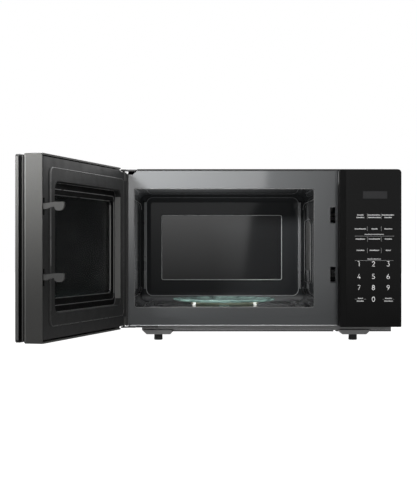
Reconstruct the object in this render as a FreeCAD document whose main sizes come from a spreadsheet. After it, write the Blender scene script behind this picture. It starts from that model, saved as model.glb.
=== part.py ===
import FreeCAD, Part
import math
import os
import Sketcher

# A 20-litre countertop microwave oven with its door open.
# Origin: on the floor, at the centre of the four feet. +X is to the right of somebody who
# faces the door, +Y is rearwards, +Z is up. All lengths are in millimetres.

Vector = FreeCAD.Vector
Rotation = FreeCAD.Rotation

DRIVING_SIZES = [
    # cabinet
    ("cabinet_left", 214.5), ("cabinet_width", 450.0), ("front_reach", 155.0),
    ("cabinet_depth", 320.0), ("cabinet_top", 287.5), ("cabinet_low", 24.0),
    ("sheet_gauge", 0.8), ("plate_gauge", 1.2), ("plate_low", 26.6), ("plate_high", 285.2),
    ("hem_height", 2.2), ("panel_left", 135.3),
    # cavity and its opening
    ("opening_inset", 10.9), ("opening_width", 299.4), ("opening_low", 56.9),
    ("opening_height", 197.7), ("opening_radius", 3.0),
    ("cavity_inset", 7.5), ("cavity_width", 306.0), ("cavity_low", 55.5),
    ("cavity_height", 200.0), ("cavity_depth", 290.0), ("cavity_radius", 9.0),
    ("emboss_left", 168.5), ("emboss_width", 227.0), ("emboss_low", 96.5),
    ("emboss_height", 121.7), ("emboss_rise", 2.0),
    # latch slots
    ("slot_left", 123.0), ("slot_width", 8.4), ("slot_low", 97.9), ("slot_height", 26.7),
    ("hook_pitch", 99.2),
    # control panel
    ("panel_proud", 38.0), ("panel_low", 26.5), ("panel_high", 285.0), ("panel_radius", 6.0),
    # feet and base
    ("feet_across", 331.0), ("feet_along", 220.0), ("foot_radius", 7.25), ("foot_height", 10.2),
    ("foot_hole", 3.2), ("base_low", 17.4),
    # door
    ("hinge_x", 221.1), ("hinge_y", 159.8), ("door_angle", 105.2), ("door_edge", 5.0),
    ("door_face_gap", 0.8), ("door_width", 358.1), ("door_low", 22.0), ("door_high", 287.8),
    ("door_depth", 42.0), ("glass_depth", 5.5), ("groove_depth", 8.1), ("frame_wall", 2.5),
    ("recess_left", 30.4), ("recess_right", 313.8), ("recess_low", 62.0), ("recess_high", 250.7),
    # turntable
    ("table_x", 51.7), ("table_y", 5.0), ("plate_radius", 91.3), ("plate_rest", 61.7),
    ("ring_radius", 62.0), ("roller_radius", 2.8),
]

doc = FreeCAD.newDocument("microwave_oven")
sheet = doc.addObject("Spreadsheet::Sheet", "Sheet")
for row, (alias, number) in enumerate(DRIVING_SIZES, 1):
    sheet.set(f"A{row}", alias)
    sheet.set(f"B{row}", str(number))
    sheet.setAlias(f"B{row}", alias)
doc.recompute()


class Size:
    """A length that carries both its value and the formula over the sheet's cells."""

    def __init__(self, value, text):
        self.value = value
        self.text = text

    def __add__(self, other):
        other = as_size(other)
        return Size(self.value + other.value, f"({self.text} + {other.text})")

    def __radd__(self, other):
        return as_size(other) + self

    def __sub__(self, other):
        other = as_size(other)
        return Size(self.value - other.value, f"({self.text} - {other.text})")

    def __rsub__(self, other):
        return as_size(other) - self

    def __mul__(self, factor):
        factor = as_size(factor)
        return Size(self.value * factor.value, f"({self.text} * {factor.text})")

    def __neg__(self):
        return Size(-self.value, f"(0 - {self.text})")


def as_size(item):
    if isinstance(item, Size):
        return item
    return Size(float(item), f"({float(item)})")


def cell(alias):
    return Size(float(sheet.get(alias)), f"Sheet.{alias}")


NODES = []


def node(item, name, on_door=False):
    """Name a finished sub-part and list it; door pieces swing open about the hinge pin."""
    item.Label = name
    if on_door:
        item.Placement = FreeCAD.Placement(Vector(0, 0, 0), Rotation(Vector(0, 0, 1), 0))
        item.setExpression("Placement.Rotation.Angle", "-Sheet.door_angle")
        swing_x = "-Sheet.hinge_x + Sheet.hinge_x*cos(Sheet.door_angle)"
        swing_y = "-Sheet.hinge_y - Sheet.hinge_x*sin(Sheet.door_angle)"
        item.setExpression("Placement.Base.x", swing_x + " + Sheet.hinge_y*sin(Sheet.door_angle)")
        item.setExpression("Placement.Base.y", swing_y + " + Sheet.hinge_y*cos(Sheet.door_angle)")
    NODES.append(item)
    return item


# ---------------------------------------------------------------- Part primitives

def bind(item, settings):
    for name, size in settings.items():
        item.setExpression(name, as_size(size).text)


def block(x0, x1, y0, y1, z0, z1):
    item = doc.addObject("Part::Box", "block")
    bind(item, {"Length": as_size(x1) - x0, "Width": as_size(y1) - y0, "Height": as_size(z1) - z0})
    bind(item, {"Placement.Base.x": x0, "Placement.Base.y": y0, "Placement.Base.z": z0})
    return item


TURN = {"X": Rotation(Vector(0, 1, 0), 90), "Y": Rotation(Vector(1, 0, 0), -90),
        "-Y": Rotation(Vector(1, 0, 0), 90), "Z": Rotation()}


def place(item, x, y, z, axis="Z"):
    item.Placement = FreeCAD.Placement(Vector(0, 0, 0), TURN[axis])
    bind(item, {"Placement.Base.x": x, "Placement.Base.y": y, "Placement.Base.z": z})
    return item


def drum(x, y, z, radius, length, axis="Z"):
    """A cylinder that starts at a point and runs along +X, +Y or +Z."""
    item = doc.addObject("Part::Cylinder", "drum")
    bind(item, {"Radius": radius, "Height": length})
    return place(item, x, y, z, axis)


def fuse(parts):
    item = doc.addObject("Part::MultiFuse", "fuse")
    item.Shapes = parts
    item.Refine = True
    return item


def cut(base, tools):
    item = doc.addObject("Part::Cut", "cut")
    item.Base = base
    item.Tool = tools[0] if len(tools) == 1 else gather(tools)
    item.Refine = True
    return item


def gather(parts):
    """Several separate solids in one node."""
    item = doc.addObject("Part::Compound", "gather")
    item.Links = parts
    return item


def rounded(base, radius, choose):
    """Round the chosen edges of a Part object."""
    doc.recompute()
    item = doc.addObject("Part::Fillet", "rounded")
    item.Base = base
    chosen = [i for i, edge in enumerate(base.Shape.Edges, 1) if choose(edge)]
    item.Edges = [(i, as_size(radius).value, as_size(radius).value) for i in chosen]
    return item


def runs_along(edge, axis):
    """True for a straight edge along one axis."""
    box = edge.BoundBox
    lengths = {"X": box.XLength, "Y": box.YLength, "Z": box.ZLength}
    return lengths.pop(axis) > 0.01 and max(lengths.values()) < 0.001


# ---------------------------------------------------------------- PartDesign bodies

def new_body(name):
    return doc.addObject("PartDesign::Body", name + "_body")


def sketch_on(body, plane, offset):
    """A sketch on one of the body's own origin planes, moved along the plane's normal."""
    sketch = body.newObject("Sketcher::SketchObject", "sketch")
    origin_plane = [item for item in body.Origin.OriginFeatures if item.Role == plane][0]
    sketch.AttachmentSupport = [(origin_plane, "")]
    sketch.MapMode = "FlatFace"
    sketch.setExpression("AttachmentOffset.Base.z", as_size(offset).text)
    return sketch


def place_points(sketch, rules):
    """Tie points to the origin: each rule is (kind, geometry, point, size)."""
    numbers = sketch.addConstraint([
        Sketcher.Constraint(kind, -1, 1, geometry, point, size.value)
        for kind, geometry, point, size in rules])
    for number, rule in zip(numbers, rules):
        sketch.setExpression(f"Constraints[{number}]", rule[3].text)


def polygon(sketch, points):
    points = [(as_size(x), as_size(y)) for x, y in points]
    corners = [Vector(x.value, y.value, 0) for x, y in points]
    first, count = sketch.GeometryCount, len(points)
    sketch.addGeometry([Part.LineSegment(corners[i], corners[(i + 1) % count])
                        for i in range(count)], False)
    sketch.addConstraint([Sketcher.Constraint("Coincident", first + i, 2, first + (i + 1) % count, 1)
                          for i in range(count)])
    rules = [("DistanceX", first + i, 1, x) for i, (x, y) in enumerate(points)]
    rules += [("DistanceY", first + i, 1, y) for i, (x, y) in enumerate(points)]
    place_points(sketch, rules)


def rectangle(sketch, x0, x1, y0, y1):
    polygon(sketch, [(x0, y0), (x1, y0), (x1, y1), (x0, y1)])


def soft_rectangle(sketch, x0, x1, y0, y1, radius):
    """A rectangle whose four corners are arcs of one radius."""
    x0, x1, y0, y1, radius = [as_size(item) for item in (x0, x1, y0, y1, radius)]
    left, right, low, high, r = x0.value, x1.value, y0.value, y1.value, radius.value
    first = sketch.GeometryCount
    sides = [
        ((left + r, low), (right - r, low)), ((right, low + r), (right, high - r)),
        ((right - r, high), (left + r, high)), ((left, high - r), (left, low + r)),
    ]
    shapes = [Part.LineSegment(Vector(*start, 0), Vector(*end, 0)) for start, end in sides]
    quarter = math.pi / 2
    centres = [(right - r, low + r), (right - r, high - r), (left + r, high - r), (left + r, low + r)]
    for i, (x, y) in enumerate(centres):
        whole = Part.Circle(Vector(x, y, 0), Vector(0, 0, 1), r)
        shapes.append(Part.ArcOfCircle(whole, (i - 1) * quarter, i * quarter))
    sketch.addGeometry(shapes, False)
    rules = []
    for i in range(4):
        side, arc, following = first + i, first + 4 + i, first + (i + 1) % 4
        rules.append(Sketcher.Constraint("Tangent", side, 2, arc, 1))
        rules.append(Sketcher.Constraint("Tangent", arc, 2, following, 1))
    for i in range(3):
        rules.append(Sketcher.Constraint("Equal", first + 4, first + 5 + i))
    for i, kind in enumerate(("Horizontal", "Vertical", "Horizontal", "Vertical")):
        rules.append(Sketcher.Constraint(kind, first + i))
    sketch.addConstraint(rules)
    place_points(sketch, [("DistanceY", first, 1, y0), ("DistanceX", first + 1, 1, x1),
                          ("DistanceY", first + 2, 1, y1), ("DistanceX", first + 3, 1, x0)])
    number = sketch.addConstraint(Sketcher.Constraint("Radius", first + 4, r))
    sketch.setExpression(f"Constraints[{number}]", radius.text)


def circle(sketch, x, y, radius):
    x, y, radius = as_size(x), as_size(y), as_size(radius)
    whole = Part.Circle(Vector(x.value, y.value, 0), Vector(0, 0, 1), radius.value)
    number = sketch.addGeometry(whole, False)
    place_points(sketch, [("DistanceX", number, 3, x), ("DistanceY", number, 3, y)])
    rule = sketch.addConstraint(Sketcher.Constraint("Radius", number, radius.value))
    sketch.setExpression(f"Constraints[{rule}]", radius.text)


def pad(body, sketch, length):
    feature = body.newObject("PartDesign::Pad", "pad")
    feature.Profile = sketch
    feature.setExpression("Length", as_size(length).text)
    body.Tip = feature
    return feature


def front_sketch(body, back_y):
    """A sketch seen from the front, in X and Z; its pads grow towards the front."""
    return sketch_on(body, "XZ_Plane", -as_size(back_y))


def turned(name, profile, x, y, z, axis="Z"):
    """A body of revolution from (radius, height) points, set along an axis."""
    body = new_body(name)
    sketch = sketch_on(body, "XZ_Plane", 0)
    polygon(sketch, profile)
    feature = body.newObject("PartDesign::Revolution", "turning")
    feature.Profile = sketch
    feature.ReferenceAxis = (sketch, ["V_Axis"])
    feature.Angle = 360
    body.Tip = feature
    return place(body, x, y, z, axis)


def body_fillet(body, radius, choose):
    doc.recompute()
    base = body.Tip
    feature = body.newObject("PartDesign::Fillet", "fillet")
    names = [f"Edge{i}" for i, edge in enumerate(base.Shape.Edges, 1) if choose(edge)]
    feature.Base = (base, names)
    feature.setExpression("Radius", as_size(radius).text)
    body.Tip = feature
    return feature


# ---------------------------------------------------------------- shared positions

left = -cell("cabinet_left")
right = left + cell("cabinet_width")
front = -cell("front_reach")
back = front + cell("cabinet_depth")
top = cell("cabinet_top")
low = cell("cabinet_low")
gauge = cell("sheet_gauge")
plate_gauge = cell("plate_gauge")
panel_left = cell("panel_left")
panel_front = front - cell("panel_proud")

opening_left = left + cell("opening_inset")
opening_right = opening_left + cell("opening_width")
opening_low = cell("opening_low")
opening_high = opening_low + cell("opening_height")

cavity_left = left + cell("cavity_inset")
cavity_right = cavity_left + cell("cavity_width")
cavity_low = cell("cavity_low")
cavity_high = cavity_low + cell("cavity_height")
cavity_front = front + plate_gauge
cavity_back = front + cell("cavity_depth")

hinge_x = -cell("hinge_x")
hinge_y = -cell("hinge_y")
table_x = -cell("table_x")
table_y = -cell("table_y")
plate_rest = cell("plate_rest")
slot_left = cell("slot_left")
slot_low = cell("slot_low")
hook_pitch = cell("hook_pitch")

hook_thickness = 4.0
hook_x = slot_left + 1.6
hook_reach = 30.0
nose_low = slot_low + 10.1
door_face = front - cell("door_face_gap")
hook_tip = door_face + hook_reach


# ---------------------------------------------------------------- cabinet

def make_wrap():
    """The bent steel cover: top and two sides, hemmed along its front edge."""
    body = new_body("outer_wrap")
    sketch = front_sketch(body, back - gauge)
    inner_left, inner_right, inner_top = left + gauge, right - gauge, top - gauge
    polygon(sketch, [
        (left, low), (inner_left, low), (inner_left, inner_top), (inner_right, inner_top),
        (inner_right, low), (right, low), (right, top), (left, top)])
    pad(body, sketch, back - gauge - front)
    hem = front_sketch(body, front + 1.0)
    depth = cell("hem_height")
    polygon(hem, [
        (panel_left, top - depth), (panel_left, inner_top + 0.4), (left + 15.5, inner_top + 0.4),
        (left + 15.5, top - depth)])
    pad(body, hem, 1.0)

    def is_top_corner(edge):
        x = edge.BoundBox.XMin
        on_side = min(abs(x - left.value), abs(x - right.value)) < 0.01
        return runs_along(edge, "Y") and on_side and edge.BoundBox.ZMin > top.value - 0.01

    body_fillet(body, 2.5, is_top_corner)
    notch = block(left - 5, left + 15.5, front - 5, front + 13, top - 6.5, top + 5)
    vents = [block(left - 2, left + 2, y, y + 26, z, z + 3)
             for y in (60, 95) for z in (60, 68, 76, 84, 92)]
    low_notch = block(left - 5, left + 5, front - 5, front + 13, low - 2, low + 3)
    node(cut(body, [notch, low_notch] + vents), "outer_wrap")


def make_front_plate():
    """The pressed steel front with the cavity's opening and the two latch slots."""
    body = new_body("front_plate")
    sketch = front_sketch(body, front + plate_gauge)
    plate_low, plate_high = cell("plate_low"), cell("plate_high")
    plate_right = panel_left + 1.2
    inner_left = left + gauge + 0.2
    polygon(sketch, [
        (inner_left, plate_low), (plate_right, plate_low), (plate_right, plate_high),
        (left + 15.5, plate_high), (left + 8.5, plate_high - 7), (inner_left, plate_high - 7)])
    soft_rectangle(sketch, opening_left, opening_right, opening_low, opening_high,
                   cell("opening_radius"))
    for level in range(2):
        slot = slot_low + hook_pitch * level
        soft_rectangle(sketch, slot_left, slot_left + cell("slot_width"),
                       slot, slot + cell("slot_height"), 0.8)
    pad(body, sketch, plate_gauge)

    def at_front_rim(edge):
        box = edge.BoundBox
        if box.YMax > front.value + 0.01:
            return False
        inside = box.XMin > opening_left.value - 0.1 and box.XMax < opening_right.value + 0.1
        bottom = box.ZMax < cell("plate_low").value + 0.1
        return (inside and box.ZMin > 50 and box.ZMax < 256) or bottom

    body_fillet(body, 0.9, at_front_rim)
    node(body, "front_plate")


def make_base():
    """A pressed pan with four tapered embosses that carry the feet."""
    pan_left, pan_right = left + 22, right - 7.5
    pan_front, pan_back = front + 26, back - 1.2
    base_low, foot_top = cell("base_low"), cell("foot_height")
    skin = 1.0

    def pan(inset, lift):
        pieces = [block(pan_left + inset, pan_right - inset, pan_front + inset, pan_back - inset,
                        base_low + lift, low + 2.4 + lift * 4)]
        for side in (-0.5, 0.5):
            for end in (-0.5, 0.5):
                wedge = doc.addObject("Part::Wedge", "emboss")
                half_top, half_low = (27.0, 20.0)
                bind(wedge, {
                    "Xmin": inset - half_top, "Xmax": half_top - inset,
                    "Zmin": inset - 25.0, "Zmax": 25.0 - inset,
                    "X2min": inset - half_low, "X2max": half_low - inset,
                    "Z2min": inset - 18.0, "Z2max": 18.0 - inset,
                    "Ymin": 0, "Ymax": base_low - foot_top + 0.4})
                wedge.Placement = FreeCAD.Placement(Vector(0, 0, 0), Rotation(Vector(1, 0, 0), -90))
                bind(wedge, {"Placement.Base.x": cell("feet_across") * side + 0.8,
                             "Placement.Base.y": cell("feet_along") * end,
                             "Placement.Base.z": base_low + lift + 0.4})
                pieces.append(wedge)
        return fuse(pieces)

    vents = [block(20 + 9 * i, 24 + 9 * i, -20, 60, base_low - 1, base_low + 2) for i in range(8)]
    stems = [drum(cell("feet_across") * side, cell("feet_along") * end, foot_top - 2, 3.6, 6)
             for side in (-0.5, 0.5) for end in (-0.5, 0.5)]
    node(cut(cut(pan(0.0, 0.0), [pan(skin, skin)]), vents + stems), "base_plate")


def make_feet():
    foot_top, radius, hole = cell("foot_height"), cell("foot_radius"), cell("foot_hole")
    profile = [(hole, 0), (radius - 1.0, 0), (radius, 1.0), (radius - 0.4, foot_top),
               (3.5, foot_top), (3.5, foot_top + 2.6), (0, foot_top + 2.6), (0, 4), (hole, 4)]
    feet = [turned("foot", profile, cell("feet_across") * side, cell("feet_along") * end, 0)
            for side in (-0.5, 0.5) for end in (-0.5, 0.5)]
    node(gather(feet), "feet")


GLAND_X, GLAND_Z = 205.0, 62.0


def make_rear_panel():
    body = new_body("rear_panel")
    sketch = front_sketch(body, back)
    soft_rectangle(sketch, left, right, low, top, 2.5)
    circle(sketch, GLAND_X, GLAND_Z, 6.2)
    pad(body, sketch, gauge)
    vents = [block(126 + 10.5 * column, 130 + 10.5 * column, back - 3, back + 3, rise, rise + 30)
             for column in range(9) for rise in (120, 158, 196)]
    vents += [block(9 * column - 120, 9 * column - 116, back - 3, back + 3, 228, 258)
              for column in range(6)]
    node(cut(body, vents), "rear_panel")
    bush = [(3.6, 0), (9.5, 0), (9.5, 2.4), (6.1, 2.4), (6.1, 5.0), (7.6, 7), (6.1, 12), (3.6, 12)]
    node(turned("cord_gland", bush, GLAND_X, back + 2.4, GLAND_Z, "-Y"), "cord_gland")


def make_case_screws():
    places = [(left + 12, 276), (left + 12, 150), (left + 12, 40), (right - 12, 276),
              (right - 12, 150), (right - 12, 40), (10, 276)]
    screws = []
    for x, z in places:
        head = drum(x, back, z, 3.6, 2.0, "Y")
        cross = [block(as_size(x) - 2, as_size(x) + 2, back + 1.2, back + 3, as_size(z) - 0.4,
                       as_size(z) + 0.4),
                 block(as_size(x) - 0.4, as_size(x) + 0.4, back + 1.2, back + 3, as_size(z) - 2,
                       as_size(z) + 2)]
        screws.append(cut(head, cross))
    node(gather(screws), "case_screws")


def make_hinge(name, plate_z, thickness, tab_low, tab_high, pin_low, pin_length):
    """A steel arm that holds the door's pivot pin in front of and beside the cabinet."""
    reach = cell("door_edge") - 0.4
    arm = fuse([
        drum(hinge_x, hinge_y, plate_z, reach, thickness),
        block(hinge_x - reach, left + 13, hinge_y, front + 9, plate_z, plate_z + thickness),
        block(left + 12, left + 50, front + plate_gauge, front + 9, plate_z, plate_z + thickness),
        block(left + 14, left + 50, front + plate_gauge, front + plate_gauge + 1.8, tab_low, tab_high),
        drum(hinge_x, hinge_y, pin_low, 2.0, pin_length)])
    node(arm, name)


# ---------------------------------------------------------------- cavity

def make_cavity():
    """The welded steel chamber, with pressed panels in its side walls and its back."""
    def shell(grow):
        x0, x1 = cavity_left - grow, cavity_right + grow
        z0, z1 = cavity_low - grow, cavity_high + grow
        chamber = block(x0, x1, cavity_front, cavity_back + grow, z0, z1)
        radius = cell("cavity_radius") + grow
        chamber = rounded(chamber, radius, lambda edge: runs_along(edge, "Y")
                          or edge.BoundBox.YMin > (cavity_back + grow).value - 0.01)
        panels = []
        for x in (cavity_left - 1.5 - grow, cavity_right - 10):
            panel = block(x, x + 11.5 + grow, front + 26 - grow, cavity_back - 22 + grow,
                          cavity_low + 17 - grow, cavity_high - 17 + grow)
            panels.append(rounded(panel, 12 + grow, lambda edge: runs_along(edge, "X")))
        return fuse([chamber] + panels)

    chamber = cut(shell(gauge), [shell(as_size(0))])
    emboss_left, emboss_low = -cell("emboss_left"), cell("emboss_low")
    emboss = block(emboss_left, emboss_left + cell("emboss_width"),
                   cavity_back - cell("emboss_rise"), cavity_back + 0.4,
                   emboss_low, emboss_low + cell("emboss_height"))
    emboss = rounded(emboss, 1.4, lambda edge: edge.BoundBox.YMax < (cavity_back - 1).value)
    port = block(cavity_right - 3, cavity_right + 5, front + 150, front + 210, 130, 190)
    shaft_hole = drum(table_x, table_y, cavity_low - 3, 4.6, 6)
    lamp_holes = [drum(cavity_right - 3, front + 100 + 5 * i, 208 + 5 * j, 1.4, 8, "X")
                  for i in range(3) for j in range(5)]
    outlet_holes = [drum(cavity_left - 6, front + 180 + 6 * i, 200 + 6 * j, 1.6, 10, "X")
                    for i in range(6) for j in range(4)]
    chamber = cut(fuse([chamber, emboss]), [port, shaft_hole] + lamp_holes + outlet_holes)
    node(chamber, "cavity_liner")


def make_waveguide_cover():
    recess_wall = cavity_right + 1.5
    cover = block(recess_wall - 0.6, recess_wall, front + 140, front + 220, 116, 203)
    marks = [block(recess_wall - 2, recess_wall + 1, front + 146, front + 154, z, z + 8)
             for z in (122.0, 188.0)]
    node(cut(cover, marks), "waveguide_cover")


def make_waveguide():
    wall_x = cavity_right + 1.5 + gauge
    duct = block(wall_x, wall_x + 30, front + 130, front + 220, 122, 246)
    hollow = block(wall_x - 1, wall_x + 29, front + 131, front + 219, 123, 245)
    node(cut(duct, [hollow, drum(wall_x + 25, front + 175, 214, 12, 10, "X")]), "waveguide")


MAGNETRON_LOW = 172.0


def make_magnetron():
    x0 = cavity_right + 1.5 + gauge + 30
    y0, z0 = front + 132, MAGNETRON_LOW
    yoke = cut(block(x0, x0 + 60, y0, y0 + 84, z0, z0 + 84), [
        block(x0 + 1.6, x0 + 58.4, y0 - 1, y0 + 85, z0 + 1.6, z0 + 82.4),
        drum(x0 - 1, y0 + 43, z0 + 42, 11, 5, "X")])
    node(yoke, "magnetron_yoke")
    fins = [block(x0 + 8 + 7 * i, x0 + 8.8 + 7 * i, y0 + 3, y0 + 81, z0 + 3, z0 + 81)
            for i in range(6)]
    anode = drum(x0 + 4, y0 + 43, z0 + 42, 19, 50, "X")
    node(fuse([anode] + fins), "magnetron_anode")
    node(drum(x0 - 22, y0 + 43, z0 + 42, 7.5, 26, "X"), "magnetron_antenna")
    filter_box = block(x0 + 60, x0 + 84, y0 + 12, y0 + 74, z0 + 16, z0 + 68)
    node(rounded(filter_box, 2, lambda edge: runs_along(edge, "X")), "magnetron_filter_box")


def make_transformer():
    x0, y0, z0 = 136.0, 8.0, 25.0
    core = cut(block(x0, x0 + 62, y0, y0 + 84, z0, z0 + 70), [
        block(x0 + 10, x0 + 23, y0 - 1, y0 + 85, z0 + 14, z0 + 56),
        block(x0 + 39, x0 + 52, y0 - 1, y0 + 85, z0 + 14, z0 + 56)])
    node(core, "transformer_core")
    windings = []
    for low_part, high_part in ((15.0, 33.0), (36.0, 55.0)):
        coil = rounded(block(x0 + 11, x0 + 51, y0 - 11, y0 + 95, z0 + low_part, z0 + high_part), 8,
                       lambda edge: runs_along(edge, "Z"))
        windings.append(cut(coil, [block(x0 + 22.8, x0 + 39.2, y0 - 0.2, y0 + 84.2, z0, z0 + 70)]))
    node(gather(windings), "transformer_windings")


def make_high_voltage_parts():
    x0, y0, z0 = 124.0, -84.0, 19.2
    case = block(x0, x0 + 34, y0, y0 + 78, z0 + 4, z0 + 56)
    case = rounded(case, 16, lambda edge: runs_along(edge, "Y"))
    tabs = [block(x0 + 8 + 14 * i, x0 + 12 + 14 * i, y0 - 9, y0 + 1, z0 + 38, z0 + 39)
            for i in range(2)]
    node(fuse([case] + tabs), "capacitor")
    band = cut(block(x0 - 1.2, x0 + 35.2, y0 + 20, y0 + 46, z0 + 0.4, z0 + 57.2),
               [block(x0 - 0.1, x0 + 34.1, y0 + 19, y0 + 47, z0 + 3.9, z0 + 56.1)])
    node(band, "capacitor_clamp")
    diode = drum(x0 + 46, y0 + 6, z0 + 8, 4, 22, "Y")
    leads = drum(x0 + 46, y0 - 12, z0 + 8, 0.7, 60, "Y")
    node(fuse([diode, leads]), "rectifier_diode")


def make_fan():
    """The cooling fan: shroud, shaded-pole motor and a seven-bladed wheel on its shaft."""
    x, z = 168.0, 128.0
    shroud_front, shroud_back = back - 26, back - 3
    shroud = cut(block(x - 46, x + 54, shroud_front, shroud_back, z - 40, z + 40), [
        drum(x, shroud_front - 1, z, 36, 30, "Y")])
    node(shroud, "fan_shroud")
    stack = block(x - 20, x + 20, shroud_front - 28, shroud_front - 12, z - 34, z + 6)
    coil = block(x - 12, x + 12, shroud_front - 32, shroud_front - 8, z - 46, z - 36)
    legs = [block(x - 24, x - 20, shroud_front - 28, shroud_front, z - 30, z - 20),
            block(x + 20, x + 24, shroud_front - 28, shroud_front, z - 30, z - 20)]
    neck = block(x - 6, x + 6, shroud_front - 26, shroud_front - 14, z - 37, z - 33)
    bore = drum(x, shroud_front - 30, z, 2.05, 40, "Y")
    node(cut(fuse([stack, coil, neck] + legs), [bore]), "fan_motor")
    shaft = drum(x, shroud_front - 30, z, 2.0, 42, "Y")
    hub = drum(x, shroud_front + 5, z, 10, 12, "Y")
    blade_count, blade_pitch, root_radius = 7, 32.0, 8.0
    tilt = Rotation(Vector(0, 0, 1), blade_pitch)
    middle = Vector(x, (shroud_front + 5).value, z)
    blades = []
    for number in range(blade_count):
        spin = Rotation(Vector(0, 1, 0), 360.0 / blade_count * number)
        root = middle + spin.multVec(Vector(0, 0, root_radius))
        blade = doc.addObject("Part::Box", "blade")
        blade.Length = 2.0
        blade.Width = 12.0
        blade.Height = 25.0
        blade.Placement = FreeCAD.Placement(root, spin.multiply(tilt))
        blades.append(blade)
    node(fuse([shaft, hub] + blades), "fan_blade")


def make_lamp():
    x, y, z = cavity_right + 6, front + 104, 217.0
    bulb = fuse([drum(x + 3, y, z, 7, 17, "X"), drum(x + 18, y, z, 4, 8, "X")])
    node(rounded(bulb, 2, lambda edge: abs(edge.BoundBox.XMin - (x + 3).value) < 0.01
                 and edge.BoundBox.YLength > 13), "cavity_lamp")
    socket = drum(x + 19, y, z, 4.1, 8, "X")
    node(cut(block(x + 20, x + 32, y - 10, y + 10, z - 10, z + 10), [socket]), "lamp_holder")


def make_cutouts():
    """Two thermal cut-outs: one on the chamber's roof, one on the magnetron's yoke."""
    roof = cavity_high + gauge
    yoke_top = MAGNETRON_LOW + 84.0
    discs = [fuse([drum(x, y, z, 8, 6), drum(x, y, z + 6, 5, 4)])
             for x, y, z in ((30, 60, roof), (165, 10, yoke_top))]
    node(gather(discs), "thermal_cutouts")


def make_mains_filter():
    x0, y0, z0 = 226.0, 104.0, 92.0
    node(block(x0, x0 + 1.6, y0 - 34, y0 + 34, z0 - 40, z0 + 30), "filter_board")
    parts = [drum(x0 - 14, y0, z0, 9, 14, "X"), block(x0 - 10, x0, y0 - 30, y0 - 14, z0 + 4, z0 + 24),
             drum(x0 - 6, y0 - 20, z0 - 34, 3, 26)]
    node(gather(parts), "filter_parts")


# ---------------------------------------------------------------- turntable

def make_turntable():
    motor_top = cavity_low - gauge
    can = drum(table_x, table_y, motor_top - 17, 24.5, 17)
    ears = block(table_x - 32, table_x + 32, table_y - 6, table_y + 6, motor_top - 1.2, motor_top)
    bore = drum(table_x, table_y, motor_top - 12, 3.55, 14)
    node(cut(fuse([can, ears]), [bore]), "turntable_motor")
    shaft_low = motor_top - 11
    boss_low, boss_high = cavity_low + 0.8, plate_rest - 0.5
    lobes = [drum(table_x, table_y, shaft_low, 3.5, boss_low - shaft_low + 1),
             drum(table_x, table_y, boss_low, 5.6, boss_high - boss_low)]
    lobe_width, lobe_height = 4.0, 4.2
    for i in range(3):
        lobe = doc.addObject("Part::Box", "lobe")
        lobe.Length = 9.0
        lobe.Width = lobe_width
        lobe.Height = lobe_height
        turn = Rotation(Vector(0, 0, 1), 120.0 * i + 30)
        axis_point = Vector(table_x.value, table_y.value, boss_high.value - lobe_height)
        corner = turn.multVec(Vector(0, -lobe_width / 2, 0))
        lobe.Placement = FreeCAD.Placement(axis_point + corner, turn)
        lobes.append(lobe)
    node(fuse(lobes), "drive_coupler")

    rim = cell("plate_radius")
    profile = [(0, 0), (9.9, 0), (9.9, -2.6), (12.4, -2.6), (12.9, 0), (rim - 9, 0), (rim - 1.2, 2.4),
               (rim, 4.0), (rim - 0.6, 4.9), (rim - 2.4, 4.6), (rim - 10, 2.9), (0, 2.9)]
    node(turned("glass_plate", profile, table_x, table_y, plate_rest), "glass_plate")

    ring, wheel = cell("ring_radius"), cell("roller_radius")
    axle_z = cavity_low + 0.3 + wheel
    hoop = cut(drum(table_x, table_y, axle_z - 1.6, ring - 6, 3.2),
               [drum(table_x, table_y, axle_z - 3, ring - 10.5, 6)])
    axles = []
    for i in range(3):
        turn = Rotation(Vector(0, 0, 1), -90 + 60 + 120.0 * i)
        centre = Vector(table_x.value, table_y.value, axle_z.value)
        axle = doc.addObject("Part::Cylinder", "axle")
        bind(axle, {"Radius": 1.1, "Height": 14})
        axle.Placement = FreeCAD.Placement(
            centre + turn.multVec(Vector(ring.value - 8, 0, 0)), turn.multiply(TURN["X"]))
        axles.append(axle)
        tyre = doc.addObject("Part::Cylinder", "tyre")
        bind(tyre, {"Radius": wheel, "Height": 4})
        bore = doc.addObject("Part::Cylinder", "bore")
        bind(bore, {"Radius": 1.15, "Height": 6})
        for item, shift in ((tyre, -2.0), (bore, -3.0)):
            item.Placement = FreeCAD.Placement(
                centre + turn.multVec(Vector(ring.value + shift, 0, 0)), turn.multiply(TURN["X"]))
        node(cut(tyre, [bore]), f"roller_{i + 1}")
    node(fuse([hoop] + axles), "roller_ring")


# ---------------------------------------------------------------- interlock

def make_interlock():
    """The bracket behind the latch slots, its catch ledges and the three switches."""
    x0, x1 = slot_left - 8, slot_left + cell("slot_width") + 3.4
    back_y = front + 62
    z0, z1 = slot_low - 12, slot_low + hook_pitch + cell("slot_height") + 10
    web = block(slot_left - 9.2, slot_left - 8, front + plate_gauge, back_y, z0, z1)
    flange = block(x0, slot_left - 1, front + plate_gauge, front + plate_gauge + 2, z0, z1)
    ledges = []
    for level in range(2):
        slot = slot_low + hook_pitch * level
        ledges.append(block(x0, x1, front + plate_gauge, front + 13, slot + 5.5, slot + 9.7))
        ledges.append(block(x0, x1, front + 48, back_y, slot + 1, slot + 3))
    node(fuse([web, flange] + ledges), "interlock_bracket")


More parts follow.
